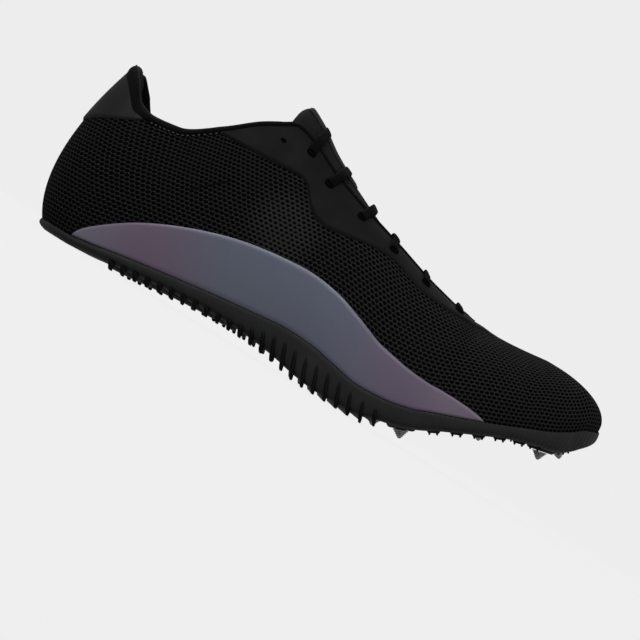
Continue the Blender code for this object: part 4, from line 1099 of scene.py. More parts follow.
@dataclass
class CollarRoll:
    """The padded roll over the collar's edge, which binds it and lines it inside."""

    wardrobe: Wardrobe
    end: float = 0.722
    above: float = 0.0011
    below: float = 0.0005
    edge: float = 0.0050
    inner: float = 0.030
    sewn: tuple[float, float] = (0.034, 0.074)
    pitch: float = 0.0021
    stitch: tuple[float, float, float] = (0.00068, 0.00026, 0.00028)
    pad_walls: tuple[float, float] = (0.0018, 0.0040)
    plump: float = 0.45
    hems: tuple[float, float] = (0.0007, 0.0042)
    outside: int = 13
    columns: int = 301

    def build(self) -> None:
        """Model the roll from its outer hem over the rim and down inside, all round the openings."""
        last = LAST.turn_of_top(self.end * LENGTH, Side.MEDIAL)
        turn = np.linspace(-last, last, self.columns)
        rim = LAST.skin(turn, LAST.brim(turn))
        up = unit(rim - LAST.skin(turn, LAST.brim(turn) - 0.03))
        out = LAST.normal(turn, np.full_like(turn, 0.985))
        wall = wall_at(rim)
        pad = soft_step(wall, *self.pad_walls)
        half = (self.above + wall + self.below) / 2
        middle = rim + out * (self.above - half)[:, None] - up * (half - 0.0003)[:, None]
        hem = self.hem(turn)
        depth = self.edge + (self.inner - self.edge) * soft_step(pad, 0.0, 0.5)
        lines = []
        for k in range(7):
            down = 1 - k / 6
            swell = 0.80 + 0.20 * math.sin(math.pi * (1 - down) / 2)
            lines.append(middle + out * (half * swell)[:, None] - up * (hem * down)[:, None])
        for k in range(1, 10):
            angle = math.pi * k / 10
            lines.append(middle + out * (half * math.cos(angle))[:, None]
                         + up * (half * math.sin(angle))[:, None])
        for k in range(10):
            down = k / 9
            swell = 1 + self.plump * pad * math.sin(math.pi * min(1.0, down * 1.1))
            lines.append(middle - out * (half * swell)[:, None] - up * (depth * down ** 1.1)[:, None])
        points = np.stack(lines, 1)
        made = grid("collar_roll", LAST.world(points), arc_uv(points, self.columns // 2))
        made.data.materials.append(self.wardrobe.binding)
        made.data.materials.append(self.wardrobe.lining)
        for face in made.data.polygons:
            face.material_index = int(face.index // (self.columns - 1) >= self.outside)
        face_out(made)
        thicken(made)
        finish_piece(made, self.wardrobe.binding, Slot.MESH, angle=60.0)
        self.stitches()

    def hem(self, turn: np.ndarray) -> np.ndarray:
        """Return how far the roll's outer hem reaches down, deepest at the sides of the heel."""
        plain = np.abs(turn)
        least, more = self.hems
        return least + more * soft_step(plain, 0.10, 0.34) * (1 - soft_step(plain, 0.46, 0.70))

    def stitches(self) -> None:
        """Sew the hem down with a row of short stitches on each side."""
        bpy.ops.object.select_all(action="DESELECT")
        bpy.ops.mesh.primitive_uv_sphere_add(segments=8, ring_count=5, radius=1.0, location=(0, 0, 0))
        stitch = named("stitch")
        parts = []
        for side in Side:
            for x in np.arange(self.sewn[0], self.sewn[1], self.pitch):
                turn = LAST.turn_of_top(float(x), side)
                rim = LAST.skin(turn, LAST.brim(turn))
                below = float((self.above + wall_at(rim) + self.below) / 2 + self.hem(turn) + 0.0003)
                shares = np.linspace(0.999, 0.8, 40)
                skin = LAST.skin(turn, shares)
                far = run_along(skin)
                place = float(np.interp(below, far, shares))
                centre, out = (LAST.lifted(turn, place, lift) for lift in (0.0004, 0.01))
                ahead = LAST.lifted(turn + side * 0.01, place, 0.0004)
                middle = LAST.world(centre)
                outward, along = unit(LAST.world(out) - middle), unit(LAST.world(ahead) - middle)
                across = np.cross(outward, along)
                made = stitch.copy()
                made.data = stitch.data.copy()
                bpy.context.collection.objects.link(made)
                sides = [side * size for side, size in zip((along, across, outward), self.stitch)]
                shape = Matrix(sides).transposed().to_4x4()
                made.data.transform(Matrix.Translation(Vector(middle)) @ shape)
                parts.append(made)
        bpy.data.objects.remove(stitch)
        finish_piece(join("hem_stitches", parts), self.wardrobe.thread, Slot.MESH, angle=80.0)


@dataclass
class GuardPanel:
    """A long leaf of shifting satin film along the sole line."""

    wardrobe: Wardrobe
    start: float = 0.030
    end: float = 0.226
    height: float = 0.027
    foot: float = 0.0007
    tip: float = 0.004
    columns: int = 141
    rows: int = 21

    def build(self) -> None:
        """Model one panel for each side."""
        for side, node in ((Side.LATERAL, "panel_lateral"), (Side.MEDIAL, "panel_medial")):
            x = np.linspace(self.start, self.end, self.columns)
            turn = LAST.turn_at(x, side)
            share = (x - self.start) / (self.end - self.start)
            leaf = np.sin(np.pi * share ** 0.85) ** 0.8
            base = LAST.edge(np.abs(turn)) + self.foot
            crest = base + self.height * np.maximum(leaf, self.tip)
            low, high = [LAST.share_on(turn, lambda _, level=level: level, 30) for level in (base, crest)]
            rise = np.linspace(0, 1, self.rows)[None, :]
            shares = low[:, None] + (high - low)[:, None] * rise
            off = np.minimum(rise, 1 - rise) * (self.height * leaf)[:, None]
            lift = GAP * 0.5 + (FILM + GAP * 0.5) * soft_step(off, -0.0002, 0.0010)
            points = LAST.lifted(turn[:, None], shares, lift)
            made = grid(f"guard_{node}", LAST.world(points), arc_uv(points), flip=side == Side.MEDIAL)
            face_out(made)
            thicken(made)
            finish_piece(made, self.wardrobe.panel, Slot.PANEL, node, angle=50.0)


class Throat:
    """Lines across the throat, which the tongue and the laces follow."""

    @staticmethod
    def line(x: float, lift: float, overlap: float, crown_lift: float, count: int) -> np.ndarray:
        """Return a line across the throat at x.

        Args:
            x: Place along the shoe.
            lift: Height over the skin outside the throat's edges.
            overlap: How far the line reaches past the edges.
            crown_lift: Height over the tongue's own crown.
            count: Steps on each part of the line.

        Returns:
            The points of the line from the medial to the lateral side.
        """
        turn = LAST.turn_of_top(x, Side.MEDIAL)
        shares = np.linspace(0.998, 0.55, 60)
        skin = LAST.skin(turn, shares)
        out = LAST.normal(turn, shares)
        far = run_along(skin)
        moved = skin + out * lift
        middle = float(LAST.swing(turn))
        peak = (skin[0] + out[0] * -TONGUE_SEAT)[2] + float(LAST.crown(x)) + crown_lift
        rim = moved[0]
        steps = overlap * (1 - np.arange(count + 1) / count)
        outer = np.stack([np.interp(steps, far, moved[:, axis]) for axis in range(3)], -1)
        share = 1 - np.arange(1, count + 1) / count
        is_open = float(LAST.section[1](turn)) > 0.3 * HALF_THROAT
        level = peak + (rim[2] - peak) * share ** 2 if is_open else np.full(count, rim[2])
        inner = np.stack([np.full(count, rim[0]), middle + (rim[1] - middle) * share, level], -1)
        line = np.concatenate([outer, inner])
        other = line[:-1][::-1].copy()
        other[:, 1] = 2 * middle - other[:, 1]
        return np.concatenate([line, other])


@dataclass
class Tongue:
    """The padded tongue with its rounded top and its patch."""

    wardrobe: Wardrobe
    back: float = 0.0840
    front: float = 0.2109
    thickness: float = 0.0035
    overlap: float = 0.0060
    half: float = 0.020
    edge: float = 0.0030
    round_end: float = 0.0090
    peak: tuple[float, float] = (0.0022, 0.0014)
    swell: float = 0.0005
    patch_lift: tuple[float, float] = (0.0001, 0.0005)
    patch_lines: tuple[int, int] = (4, 26)
    patch_half: int = 5
    rows: int = 64
    steps: int = 12

    def build(self) -> None:
        """Model the pad and its patch."""
        stations = self.back + (self.front - self.back) * np.linspace(0, 1, self.rows) ** 1.15
        lines = np.stack([Throat.line(float(x), -TONGUE_SEAT, self.overlap, 0.0, self.steps)
                          for x in stations])
        across = np.linspace(-1, 1, lines.shape[1])[None, :]
        away = (stations - self.back)[:, None]
        shape = self.round_top(lines, stations)
        edge = np.minimum((1 - np.abs(across)) * self.half, away)
        puff = np.sqrt(np.clip(edge / self.edge, 0, 1)) * 0.5 + 0.5
        normal = self.normals(shape)
        swell = self.swell * np.sin(np.pi * (across + 1) / 2) * soft_step(away, 0.0, 0.01)
        top = (shape - normal * (1 - puff)[..., None] * self.thickness * 0.5
               + normal * swell[..., None] * 0.2)
        low = shape - normal * (self.thickness * (0.5 + 0.5 * puff))[..., None]
        upper = grid("tongue_top", LAST.world(top), arc_uv(top))
        lower = grid("tongue_low", LAST.world(low), arc_uv(low), flip=True)
        made = join("tongue_pad", [upper, lower])
        only(made)
        bpy.ops.object.mode_set(mode="EDIT")
        bpy.ops.mesh.select_mode(type="EDGE")
        bpy.ops.mesh.select_all(action="DESELECT")
        bpy.ops.mesh.select_non_manifold(extend=False)
        bpy.ops.mesh.bridge_edge_loops()
        bpy.ops.mesh.select_all(action="SELECT")
        bpy.ops.mesh.normals_make_consistent(inside=False)
        bpy.ops.object.mode_set(mode="OBJECT")
        finish_piece(made, self.wardrobe.tongue, Slot.TONGUE, "tongue", angle=70.0)
        self.patch(shape, normal)

    def round_top(self, lines: np.ndarray, stations: np.ndarray) -> np.ndarray:
        """Return the lines with the free top end drawn in to a rounded outline."""
        away = (stations - self.back)[:, None]
        count = lines.shape[1]
        across = np.linspace(-1, 1, count)[None, :]
        inward = np.clip(1 - away / self.round_end, 0, 1)
        reach = 0.70 + 0.30 * np.sqrt(1 - inward ** 2)
        middle = lines[:, count // 2][:, None, :]
        shaped = middle + (lines - middle) * reach[..., None]
        shaped[..., 0] += self.peak[0] * (1 - across ** 2) * inward
        shaped[..., 2] -= self.peak[1] * inward ** 2
        return shaped

    @staticmethod
    def normals(points: np.ndarray) -> np.ndarray:
        """Return outward directions of a sheet of lines."""
        along = np.gradient(points, axis=0)
        across = np.gradient(points, axis=1)
        cross = unit(np.cross(along, across))
        return np.where(cross[..., 2:3].mean() < 0, -cross, cross)

    def patch(self, shape: np.ndarray, normal: np.ndarray) -> None:
        """Model the rounded patch on the tongue's upper end, with its seam."""
        middle = shape.shape[1] // 2
        lines = slice(*self.patch_lines)
        width = slice(middle - self.patch_half, middle + self.patch_half + 1)
        area, face = shape[lines, width], normal[lines, width]
        across = np.linspace(-1, 1, area.shape[1])[None, :]
        length = np.linspace(-1, 1, area.shape[0])[:, None]
        off = np.clip(1 - np.abs(across) ** 6 - np.abs(length) ** 14, 0, 1)
        least, more = self.patch_lift
        lift = least + more * np.clip(off * 6, 0, 1)
        points = area + face * lift[..., None]
        made = grid("tongue_patch", LAST.world(points), arc_uv(points))
        thicken(made)
        finish_piece(made, self.wardrobe.patch, Slot.TONGUE, angle=70.0)


@dataclass
class Laces:
    """One flat lace across the throat in six bars, run down through its eyelets."""

    wardrobe: Wardrobe
    # share of the length, inset, lift and forward bow at the middle
    rows: tuple[tuple[float, ...], ...] = (
        (0.355, 0.0068, 0.0003, 0.0010), (0.405, 0.0092, 0.0006, 0.0040), (0.476, 0.0082, 0.0012, 0.0034),
        (0.545, 0.0090, 0.0012, -0.0018), (0.615, 0.0094, 0.0008, -0.0014), (0.685, 0.0092, 0.0004, 0.0000))
    spare: tuple[float, float] = (0.307, 0.0100)
    # side, first row, last row and how far aside
    hidden: tuple[tuple[int, int, int, float], ...] = (
        (Side.LATERAL, 6, 5, 0.0), (Side.MEDIAL, 5, 3, 0.0021), (Side.LATERAL, 3, 1, 0.0021),
        (Side.MEDIAL, 6, 4, -0.0021), (Side.LATERAL, 4, 2, -0.0021))
    width: float = 0.0044
    thickness: float = 0.0010
    squeezed: tuple[float, float] = (0.0036, 0.0009)
    hole: float = 0.0019
    spare_hole: float = 0.0011
    dish: float = 0.0003
    sunk: float = 0.00022
    inward: float = 0.0008
    squashed: tuple[float, ...] = (1.25, 0.85, 1.0, 1.0)
    knuckle: float = 0.0007
    knuckle_place: tuple[float, float] = (0.52, 0.16)
    end_step: float = 0.0007
    end_dip: float = 0.00055
    under: float = 0.0006
    twist: float = 0.10
    lean: float = -0.55
    run_points: int = 16
    steps: int = 10

    def build(self) -> None:
        """Model the bars, the eyelets and the hidden runs between rows."""
        lift = 2 * GAP + FILM + self.thickness / 2
        for number, (share, inset, crown_lift, bow) in enumerate(self.rows, start=1):
            lines = [Throat.line(x, lift, inset, crown_lift + self.thickness / 2, self.steps)
                     for x in (share * LENGTH, share * LENGTH + bow)]
            bowed = 1 - np.linspace(-1, 1, len(lines[0]))[:, None] ** 2
            line = self.arched(lines[0] * (1 - bowed) + lines[1] * bowed)
            made = self.strip(f"lace_row_{number}", line, (-1) ** number * self.twist)
            finish_piece(made, self.wardrobe.lace, Slot.LACE, f"lace_bar_{number}", angle=60.0)
        self.hidden_runs()
        self.eyelets()

    def hidden_runs(self) -> None:
        """Model the stretches inside that join the bars into one lace, with its ends at the top."""
        parts = []
        for side, first, last, aside in self.hidden:
            shares = np.linspace(self.rows[first - 1][0], self.rows[last - 1][0], self.run_points)
            inset = np.interp(shares, [row[0] for row in self.rows], [row[1] for row in self.rows])
            ease = np.sin(np.linspace(0, math.pi, self.run_points)) ** 0.5
            path = [self.on_side(float(share), side, float(depth + aside * bend),
                                 -MESH_WALL - self.under)[0]
                    for share, depth, bend in zip(shares, inset, ease)]
            face = [self.on_side(float(share), side, float(depth), 0.0)[1]
                    for share, depth in zip(shares, inset)]
            path, face = np.array(path), np.array(face)
            ahead = unit(np.gradient(path, axis=0))
            face = unit(face - ahead * np.sum(face * ahead, -1, keepdims=True))
            parts.append(ribbon("run", path, np.cross(face, ahead), face, oval(*self.squeezed, 10)))
        finish_piece(join("lace_inside", parts), self.wardrobe.lace, Slot.LACE, angle=60.0)

    @staticmethod
    def on_side(share: float, side: Side, inset: float, lift: float) -> tuple[np.ndarray, np.ndarray]:
        """Return the world point at an inset from the throat's edge, and the direction out there."""
        turn = LAST.turn_of_top(share * LENGTH, side)
        shares = np.linspace(0.999, 0.6, 60)
        skin = LAST.skin(turn, shares)
        far = run_along(skin)
        place = float(np.interp(inset, far, shares))
        centre = LAST.world(LAST.lifted(turn, place, lift))
        return centre, unit(LAST.world(LAST.lifted(turn, place, lift + 0.01)) - centre)

    def arched(self, line: np.ndarray) -> np.ndarray:
        """Return the line with its ends turned down into the eyelets and its span eased."""
        s = np.linspace(-1, 1, len(line))
        eased = line.copy()
        for _ in range(6):
            eased[1:-1] = (eased[:-2] + 2 * eased[1:-1] + eased[2:]) / 4
        place, reach = self.knuckle_place
        eased[:, 2] += self.knuckle * np.exp(-((np.abs(s) - place) / reach) ** 2)
        first = unit(line[0] - line[1])
        last = unit(line[-1] - line[-2])
        down = np.array([0.0, 0.0, -1.0])
        ends = []
        for base, away in ((eased[0], first), (eased[-1], last)):
            inward = unit(np.array([0.0, -np.sign(base[1]), -0.45]))
            dip = (inward * 0.6 + down * 0.4) * self.end_dip
            ends.append(np.stack([base + away * self.end_step * k + dip * k * k for k in range(1, 4)]))
        return np.concatenate([ends[0][::-1], eased, ends[1]])

    def strip(self, name: str, line: np.ndarray, twist: float) -> bpy.types.Object:
        """Return a flat strip of lace along a line of the pattern."""
        world = LAST.world(line)
        ahead = unit(np.gradient(world, axis=0))
        lean = np.array([1.0, 0.0, self.lean])
        across = unit(np.tile(lean, (len(world), 1)) - ahead * np.sum(lean * ahead, -1, keepdims=True))
        up = unit(np.cross(across, ahead))
        up = np.where(up[:, 2:3] < 0, -up, up)
        turned = np.sin(np.linspace(0, math.pi, len(world))) * twist
        side = across * np.cos(turned)[:, None] + up * np.sin(turned)[:, None]
        face = up * np.cos(turned)[:, None] - across * np.sin(turned)[:, None]
        return ribbon(name, world, side, face, oval(self.width, self.thickness, 14))

    def eyelets(self) -> None:
        """Model a dark eyelet for each end of a row, and the spare pair at the top, as painted shade in the
        punched holes.
        """
        parts = []
        for side in Side:
            for share, inset in [row[:2] for row in self.rows] + [self.spare]:
                centre, out = self.on_side(share, side, inset + self.inward, GAP + FILM + 0.00008)
                parts.append(self.eyelet(Vector(centre), Vector(out), share == self.spare[0]))
        finish_piece(join("eyelets", parts), self.wardrobe.hole, Slot.FILM, angle=60.0)

    def eyelet(self, centre: Vector, out: Vector, spare: bool) -> bpy.types.Object:
        """Return one eyelet, a small dark dish with a soft rim, painted as the shade inside a punched hole.
        """
        bpy.ops.object.select_all(action="DESELECT")
        size = self.spare_hole if spare else self.hole
        bpy.ops.mesh.primitive_cylinder_add(vertices=20, radius=size, depth=self.dish, location=(0, 0, 0))
        made = named("eyelet")
        bpy.ops.object.mode_set(mode="EDIT")
        bpy.ops.mesh.select_all(action="DESELECT")
        bpy.ops.object.mode_set(mode="OBJECT")
        for face in made.data.polygons:
            face.select = face.normal.z > 0.9
        bpy.ops.object.mode_set(mode="EDIT")
        bpy.ops.mesh.inset(thickness=size * 0.3, depth=0.0)
        bpy.ops.mesh.inset(thickness=size * 0.1, depth=-self.sunk)
        bpy.ops.object.mode_set(mode="OBJECT")
        turned = Vector((0, 0, 1)).rotation_difference(out).to_matrix().to_4x4()
        made.data.transform(Matrix.Translation(centre) @ turned @ Matrix.Diagonal(self.squashed))
        return made


# share of the length: how far the ribs' fins climb the side walls, in millimetres
RIB_CLIMB = [(0.196, 0.5), (0.360, 0.8), (0.400, 1.8), (0.440, 5.5), (0.490, 8.6), (0.560, 9.8),
             (0.605, 7.6), (0.644, 3.6)]

# a fin's foot: shares of its drop, then its inset, width share and thickness share
FIN_FOOT = [(-1.0, 0.0002, 0.50, 0.5), (-0.80, -0.0006, 0.80, 0.8), (-0.30, -0.0010, 1.00, 1.0),
            (0.3, -0.0011, 1.0, 1.0)]

# a rib's section: shares of its width forward and of its height down
BAR_OUTLINE = [(-0.54, -0.35), (-0.50, 0.20), (-0.38, 0.72), (-0.18, 0.97), (0.10, 1.0), (0.30, 0.80),
               (0.44, 0.30), (0.56, -0.35)]

# the side wall's top edge: inset and how far it lies over the land
WALL_TOP = [(0.0034, 0.0), (-0.00030, 0.0), (-0.00042, 0.0006), (-0.00075, 0.0007), (-0.00110, 0.0001)]

# the side wall's lower corner: inset and height over the underside
WALL_CORNER = [(-0.0008, 0.0014), (-0.0003, 0.0010), (0.0005, 0.0006)]

# radius and height round a pin's seat
SEAT_OUTLINE = [(0.0074, -0.0010), (0.0066, 0.0002), (0.0060, 0.0009), (0.0056, 0.0012),
                (0.0046, 0.00125), (0.0043, 0.0011), (0.0040, 0.0011), (0.0, 0.0011)]


@dataclass
class Plate:
    """The spike plate: bed, side wall, cross ribs, seats and edge teeth."""

    wardrobe: Wardrobe
    thickness: float = 0.0024
    rib_start: float = 0.0518
    rib_end: float = 0.1845
    ribs: int = 24
    rib_lean: float = 0.36
    rib_width: float = 0.0027
    rib_taper: float = 0.0009
    most_drop: float = 0.0027
    fin_depth: float = 0.0022
    tuck: float = 0.0013
    tuck_turn: float = 0.45
    bed_inset: float = 0.005
    sole_inset: float = 0.0024
    corner: float = 0.0015
    bulge: tuple[float, float] = (0.0011, 0.0003)
    clear: float = 0.0075
    # count, first place, pitch, inset and size
    tooth_rows: tuple[tuple[float, ...], ...] = (
        (6, 0.2095, 0.0092, 0.0042, 1.0), (3, 0.2690, 0.0026, 0.0030, 0.45))
    # length, depth and level of a tooth's block, below and on top
    block: tuple[tuple[float, float, float], ...] = ((0.0048, 0.0016, -0.0009), (0.0066, 0.0030, 0.0008))
    tip_apart: float = 0.0017
    tip_radius: tuple[float, float] = (0.00035, 0.0011)
    tip_height: float = 0.0026
    tip_sink: float = 0.0005
    columns: int = 321
    climb: Curve = field(default_factory=lambda: Curve(RIB_CLIMB, 0.001, LENGTH))

    def build(self) -> None:
        """Model the plate and what stands on it."""
        parts = [self.shell()]
        finish_piece(parts[0], self.wardrobe.plate, Slot.PLATE, "sole", angle=35.0)
        ribs = join("cross_ribs", [part for i in range(self.ribs) for part in self.rib(i)])
        finish_piece(ribs, self.wardrobe.rib, Slot.PLATE, angle=35.0)
        teeth = join("edge_teeth", self.teeth())
        finish_piece(teeth, self.wardrobe.rib, Slot.PLATE, angle=35.0)
        seats = join("pin_seats", [self.seat(pin) for pin in PINS])
        finish_piece(seats, self.wardrobe.plate, Slot.PLATE, angle=35.0)

    @staticmethod
    def ring(turn: np.ndarray, inset: float | np.ndarray, level: Curve | None = None,
             height: np.ndarray | None = None) -> np.ndarray:
        """Return points inside the outline, on a level curve of x, at a height or on the underside."""
        _, _, _, outline, _, out = LAST.frame(turn)
        flat = outline - out * np.asarray(inset)[..., None]
        if level is not None:
            height = level(flat[..., 0])
        elif height is None:
            height = Plate.under(flat[..., 0])
        return np.concatenate([flat, np.asarray(height)[..., None]], -1)

    @staticmethod
    def under(x: np.ndarray) -> np.ndarray:
        """Return the underside's height, with its ribs never below the floor."""
        stand = np.where(np.asarray(x) > RIB_START, RIB_HEIGHT, 0.0)
        return np.maximum(LAST.under(x), stand - REST_SLOPE * x)

    def shell(self) -> bpy.types.Object:
        """Return the plate without ribs, closed all round."""
        turn = np.linspace(-math.pi, math.pi, self.columns)
        plain, _, _, _, spine, _ = LAST.frame(turn)
        land = LAST.edge(plain) - GAP
        edge = self.ring(turn, -0.0004)
        low = edge[:, 2] + self.corner
        bed = self.ring(turn, self.bed_inset, level=LAST.bed)
        lines = fan(flat_ring(spine), bed, [k / 6 for k in range(7)],
                    lambda x, _: LAST.bed(x) + self.thickness)
        heel = np.exp(-(plain / self.tuck_turn) ** 2)
        tuck = self.tuck * heel
        lines += [self.ring(turn, inset + tuck, height=land + height * (1 - heel))
                  for inset, height in WALL_TOP]
        for k in range(1, 7):
            share = k / 7
            bulge = self.bulge[0] + self.bulge[1] * math.sin(math.pi * share)
            lines.append(self.ring(turn, tuck - bulge, height=land * (1 - share) + low * share))
        lines += [self.ring(turn, inset + tuck, height=edge[:, 2] + rise) for inset, rise in WALL_CORNER]
        base = self.ring(turn, self.sole_inset + tuck)
        lines.append(base)
        lines += fan(base, flat_ring(spine), [k / 8 for k in range(1, 9)], lambda x, _: self.under(x))
        points = np.stack(lines, 1)
        made = grid("spike_plate", LAST.world(points), arc_uv(points, self.columns // 2))
        tidy(made, 5e-6)
        return made

    def rib(self, number: int) -> list[bpy.types.Object]:
        """Return one cross rib: its bar under the plate and the fin that ends it on each side.

        The ribs lean forward as they go down. Towards the waist their fins climb the side walls.
        """
        share = number / (self.ribs - 1)
        x = self.rib_start + (self.rib_end - self.rib_start) * share
        width = self.rib_width - self.rib_taper * share
        climb = float(self.climb(x))
        under = float(self.under(x))
        drop = float(np.clip(under + REST_SLOPE * x, RIB_HEIGHT, self.most_drop))
        rows = [(drop * down, inset, wide, thick) for down, inset, wide, thick in FIN_FOOT]
        for rise in (k / 7 for k in range(1, 8)):
            taper = math.sqrt(max(0.0, 1 - rise ** 3))
            rows.append((drop * 0.3 + climb * rise, -0.0013, 0.25 + 0.70 * taper, 0.15 + 0.85 * taper))
        parts = [self.bar(x, under, width)]
        for side in Side:
            rings = []
            for height, inset, wide, thick in rows:
                turn = np.array([float(LAST.turn_at(x - self.rib_lean * height, side))])
                point = self.ring(turn, inset, height=np.array([under + height]))[0]
                out = np.array([*LAST.frame(turn)[5][0], 0.0])
                fore = unit(np.cross(out, np.array([0.0, 0.0, 1.0]))) * -side
                rings.append(np.stack([point + fore * a * width * wide + out * b * self.fin_depth * thick
                                       for a, b in oval(1.0, 1.0, 12)]))
            points = LAST.world(np.stack(rings))
            points = np.concatenate([points, points[:, :1]], 1)
            made = grid("fin", points, arc_uv(points))
            close_ends(made)
            parts.append(made)
        return parts

    def bar(self, x: float, under: float, width: float) -> bpy.types.Object:
        """Return the part of a rib that crosses the underside from wall to wall."""
        turns = [np.array([float(LAST.turn_at(x, side))]) for side in Side]
        first, last = [self.ring(turn, 0.0004, height=np.array([under]))[0] for turn in turns]
        path = np.stack([first + (last - first) * share for share in np.linspace(0, 1, 9)])
        fore, down = np.array([1.0, 0.0, 0.0]), np.array([0.0, 0.0, -1.0])
        points = np.stack([path + fore * (a * width + self.rib_lean * b * RIB_HEIGHT)
                           + down * b * RIB_HEIGHT for a, b in BAR_OUTLINE + BAR_OUTLINE[:1]], 1)
        made = grid("bar", LAST.world(points), arc_uv(points))
        close_ends(made)
        return made

    def teeth(self) -> list[bpy.types.Object]:
        """Return the double-tipped teeth along the forefoot's edge and the small ones at the toe."""
        made = []
        for side in Side:
            for count, start, pitch, inset, size in self.tooth_rows:
                for x in (start + pitch * i for i in range(count)):
                    point = self.ring(np.array([float(LAST.turn_at(x, side))]), inset)[0]
                    near = min(math.dist(LAST.world(point)[:2], pin.base()[0][:2]) for pin in PINS)
                    if size < 1.0 or near >= self.clear:
                        made += self.tooth(point, x, size)
        return made

    def tooth(self, point: np.ndarray, x: float, size: float) -> list[bpy.types.Object]:
        """Return one tooth, a low block with a blunt tip at each end, or a single tip where small."""
        slope = float(self.under(x + 0.003) - self.under(x - 0.003)) / 0.006
        place = Matrix.Translation(Vector(LAST.world(point))) @ Matrix.Rotation(-math.atan(slope), 4, "Y")
        parts = []
        if size == 1.0:
            bpy.ops.object.select_all(action="DESELECT")
            bpy.ops.mesh.primitive_cube_add(size=1.0, location=(0, 0, 0))
            block = named("tooth")
            for vert in block.data.vertices:
                long, deep, level = self.block[0] if vert.co.z < 0 else self.block[1]
                vert.co = Vector((vert.co.x * long, vert.co.y * deep, level))
            apply(block, "BEVEL", width=0.00025, segments=2, limit_method="NONE")
            block.data.transform(place)
            parts.append(block)
        low, high = [radius * size ** 0.5 for radius in self.tip_radius]
        for offset in ((-self.tip_apart, self.tip_apart) if size == 1.0 else (0.0,)):
            bpy.ops.object.select_all(action="DESELECT")
            bpy.ops.mesh.primitive_cone_add(vertices=10, radius1=low, radius2=high,
                                            depth=self.tip_height * size, location=(0, 0, 0))
            tip = named("tip")
            apply(tip, "BEVEL", width=0.00012, segments=2, limit_method="NONE")
            tip.data.transform(place @ Matrix.Translation((offset, 0.0, -self.tip_sink * size)))
            parts.append(tip)
        return parts

    def seat(self, pin: "Pin") -> bpy.types.Object:
        """Return the raised round seat of a pin, with its chamfer and collar."""
        base, axis = pin.base()
        return turned_piece("seat", base, axis, SEAT_OUTLINE, 28)


@dataclass(frozen=True)
class Pin:
    """A pin under the forefoot, by its place on the plate and its length."""

    node: str
    share: float
    across: float
    side: Side
    length: float

    def base(self) -> tuple[np.ndarray, np.ndarray]:
        """Return the world point where the pin's axis meets the underside, and the way it points."""
        x = self.share * LENGTH
        turn = abs(float(LAST.turn_at(x, Side.MEDIAL)))
        y = float(LAST.swing(turn)) + self.side * self.across * float(LAST.half(turn))
        slope = float(LAST.under(x + 0.002) - LAST.under(x - 0.002)) / 0.004
        start = LAST.world(np.array([x, y, float(LAST.under(x))]))
        ahead = LAST.world(np.array([x + slope, y, float(LAST.under(x)) - 1.0]))
        return start, unit(ahead - start)


PINS = [Pin("pin_ball_lateral", 0.694, 0.64, Side.LATERAL, 0.00540),
        Pin("pin_ball_medial", 0.668, 0.64, Side.MEDIAL, 0.00486),
        Pin("pin_front_lateral", 0.911, 0.60, Side.LATERAL, 0.00540),
        Pin("pin_front_medial", 0.838, 0.64, Side.MEDIAL, 0.00540),
        Pin("pin_toe", 0.957, 0.22, Side.MEDIAL, 0.00540)]


def turned_piece(name: str, base: np.ndarray, axis: np.ndarray, outline: list[tuple[float, float]],
                 sides: int) -> bpy.types.Object:
    """Turn an outline round an axis.

    Args:
        name: The piece's name.
        base: World point from which the outline's heights count.
        axis: The direction of the axis.
        outline: Radius and height of each point, which starts and may end on the axis.
        sides: Steps round the axis.

    Returns:
        The turned object, closed where its outline is.
    """
    bpy.ops.object.select_all(action="DESELECT")
    bpy.ops.mesh.primitive_circle_add(vertices=sides, radius=1.0, fill_type="NOTHING", location=(0, 0, 0))
    made = named(name)
    bpy.ops.object.mode_set(mode="EDIT")
    bpy.ops.mesh.select_all(action="SELECT")
    for _ in outline[1:]:
        bpy.ops.mesh.extrude_edges_move(TRANSFORM_OT_translate={"value": (0, 0, 1.0)})
    bpy.ops.object.mode_set(mode="OBJECT")
    for vert in made.data.vertices:
        radius, height = outline[int(round(vert.co.z))]
        vert.co = Vector((vert.co.x * radius, vert.co.y * radius, height))
    close_ends(made, 1e-7)
    turned = Vector((0, 0, 1)).rotation_difference(Vector(axis)).to_matrix().to_4x4()
    made.data.transform(Matrix.Translation(Vector(base)) @ turned)
    return made


@dataclass
class Spikes:
    """The stepped steel pins."""

    wardrobe: Wardrobe
    radius: float = 0.0034
    seat: float = 0.0012
    # share of the radius, and shares of the length where each skirt starts and ends
    skirts: tuple[tuple[float, float, float], ...] = (
        (1.00, 0.00, 0.15), (0.80, 0.20, 0.36), (0.62, 0.41, 0.56), (0.45, 0.61, 0.75))

    def build(self) -> None:
        """Model each pin: flange, skirts that step in, and a blunt tip."""
        for pin in PINS:
            base, axis = pin.base()
            start = self.seat + GAP
            length = pin.length - start
            outline = [(0.0, start)]
            for wide, low, high in self.skirts:
                outline += [(wide * self.radius * 0.93, start + low * length),
                            (wide * self.radius, start + (low + 0.03) * length),
                            (wide * self.radius * 0.97, start + high * length),
                            (wide * self.radius * 0.80, start + (high + 0.02) * length)]
            outline += [(0.24 * self.radius, start + 0.90 * length),
                        (0.15 * self.radius, start + 0.985 * length), (0.0, start + length)]
            made = turned_piece(f"spike_{pin.node}", base, axis, outline, 26)
            finish_piece(made, self.wardrobe.steel, Slot.PIN, pin.node, angle=30.0)


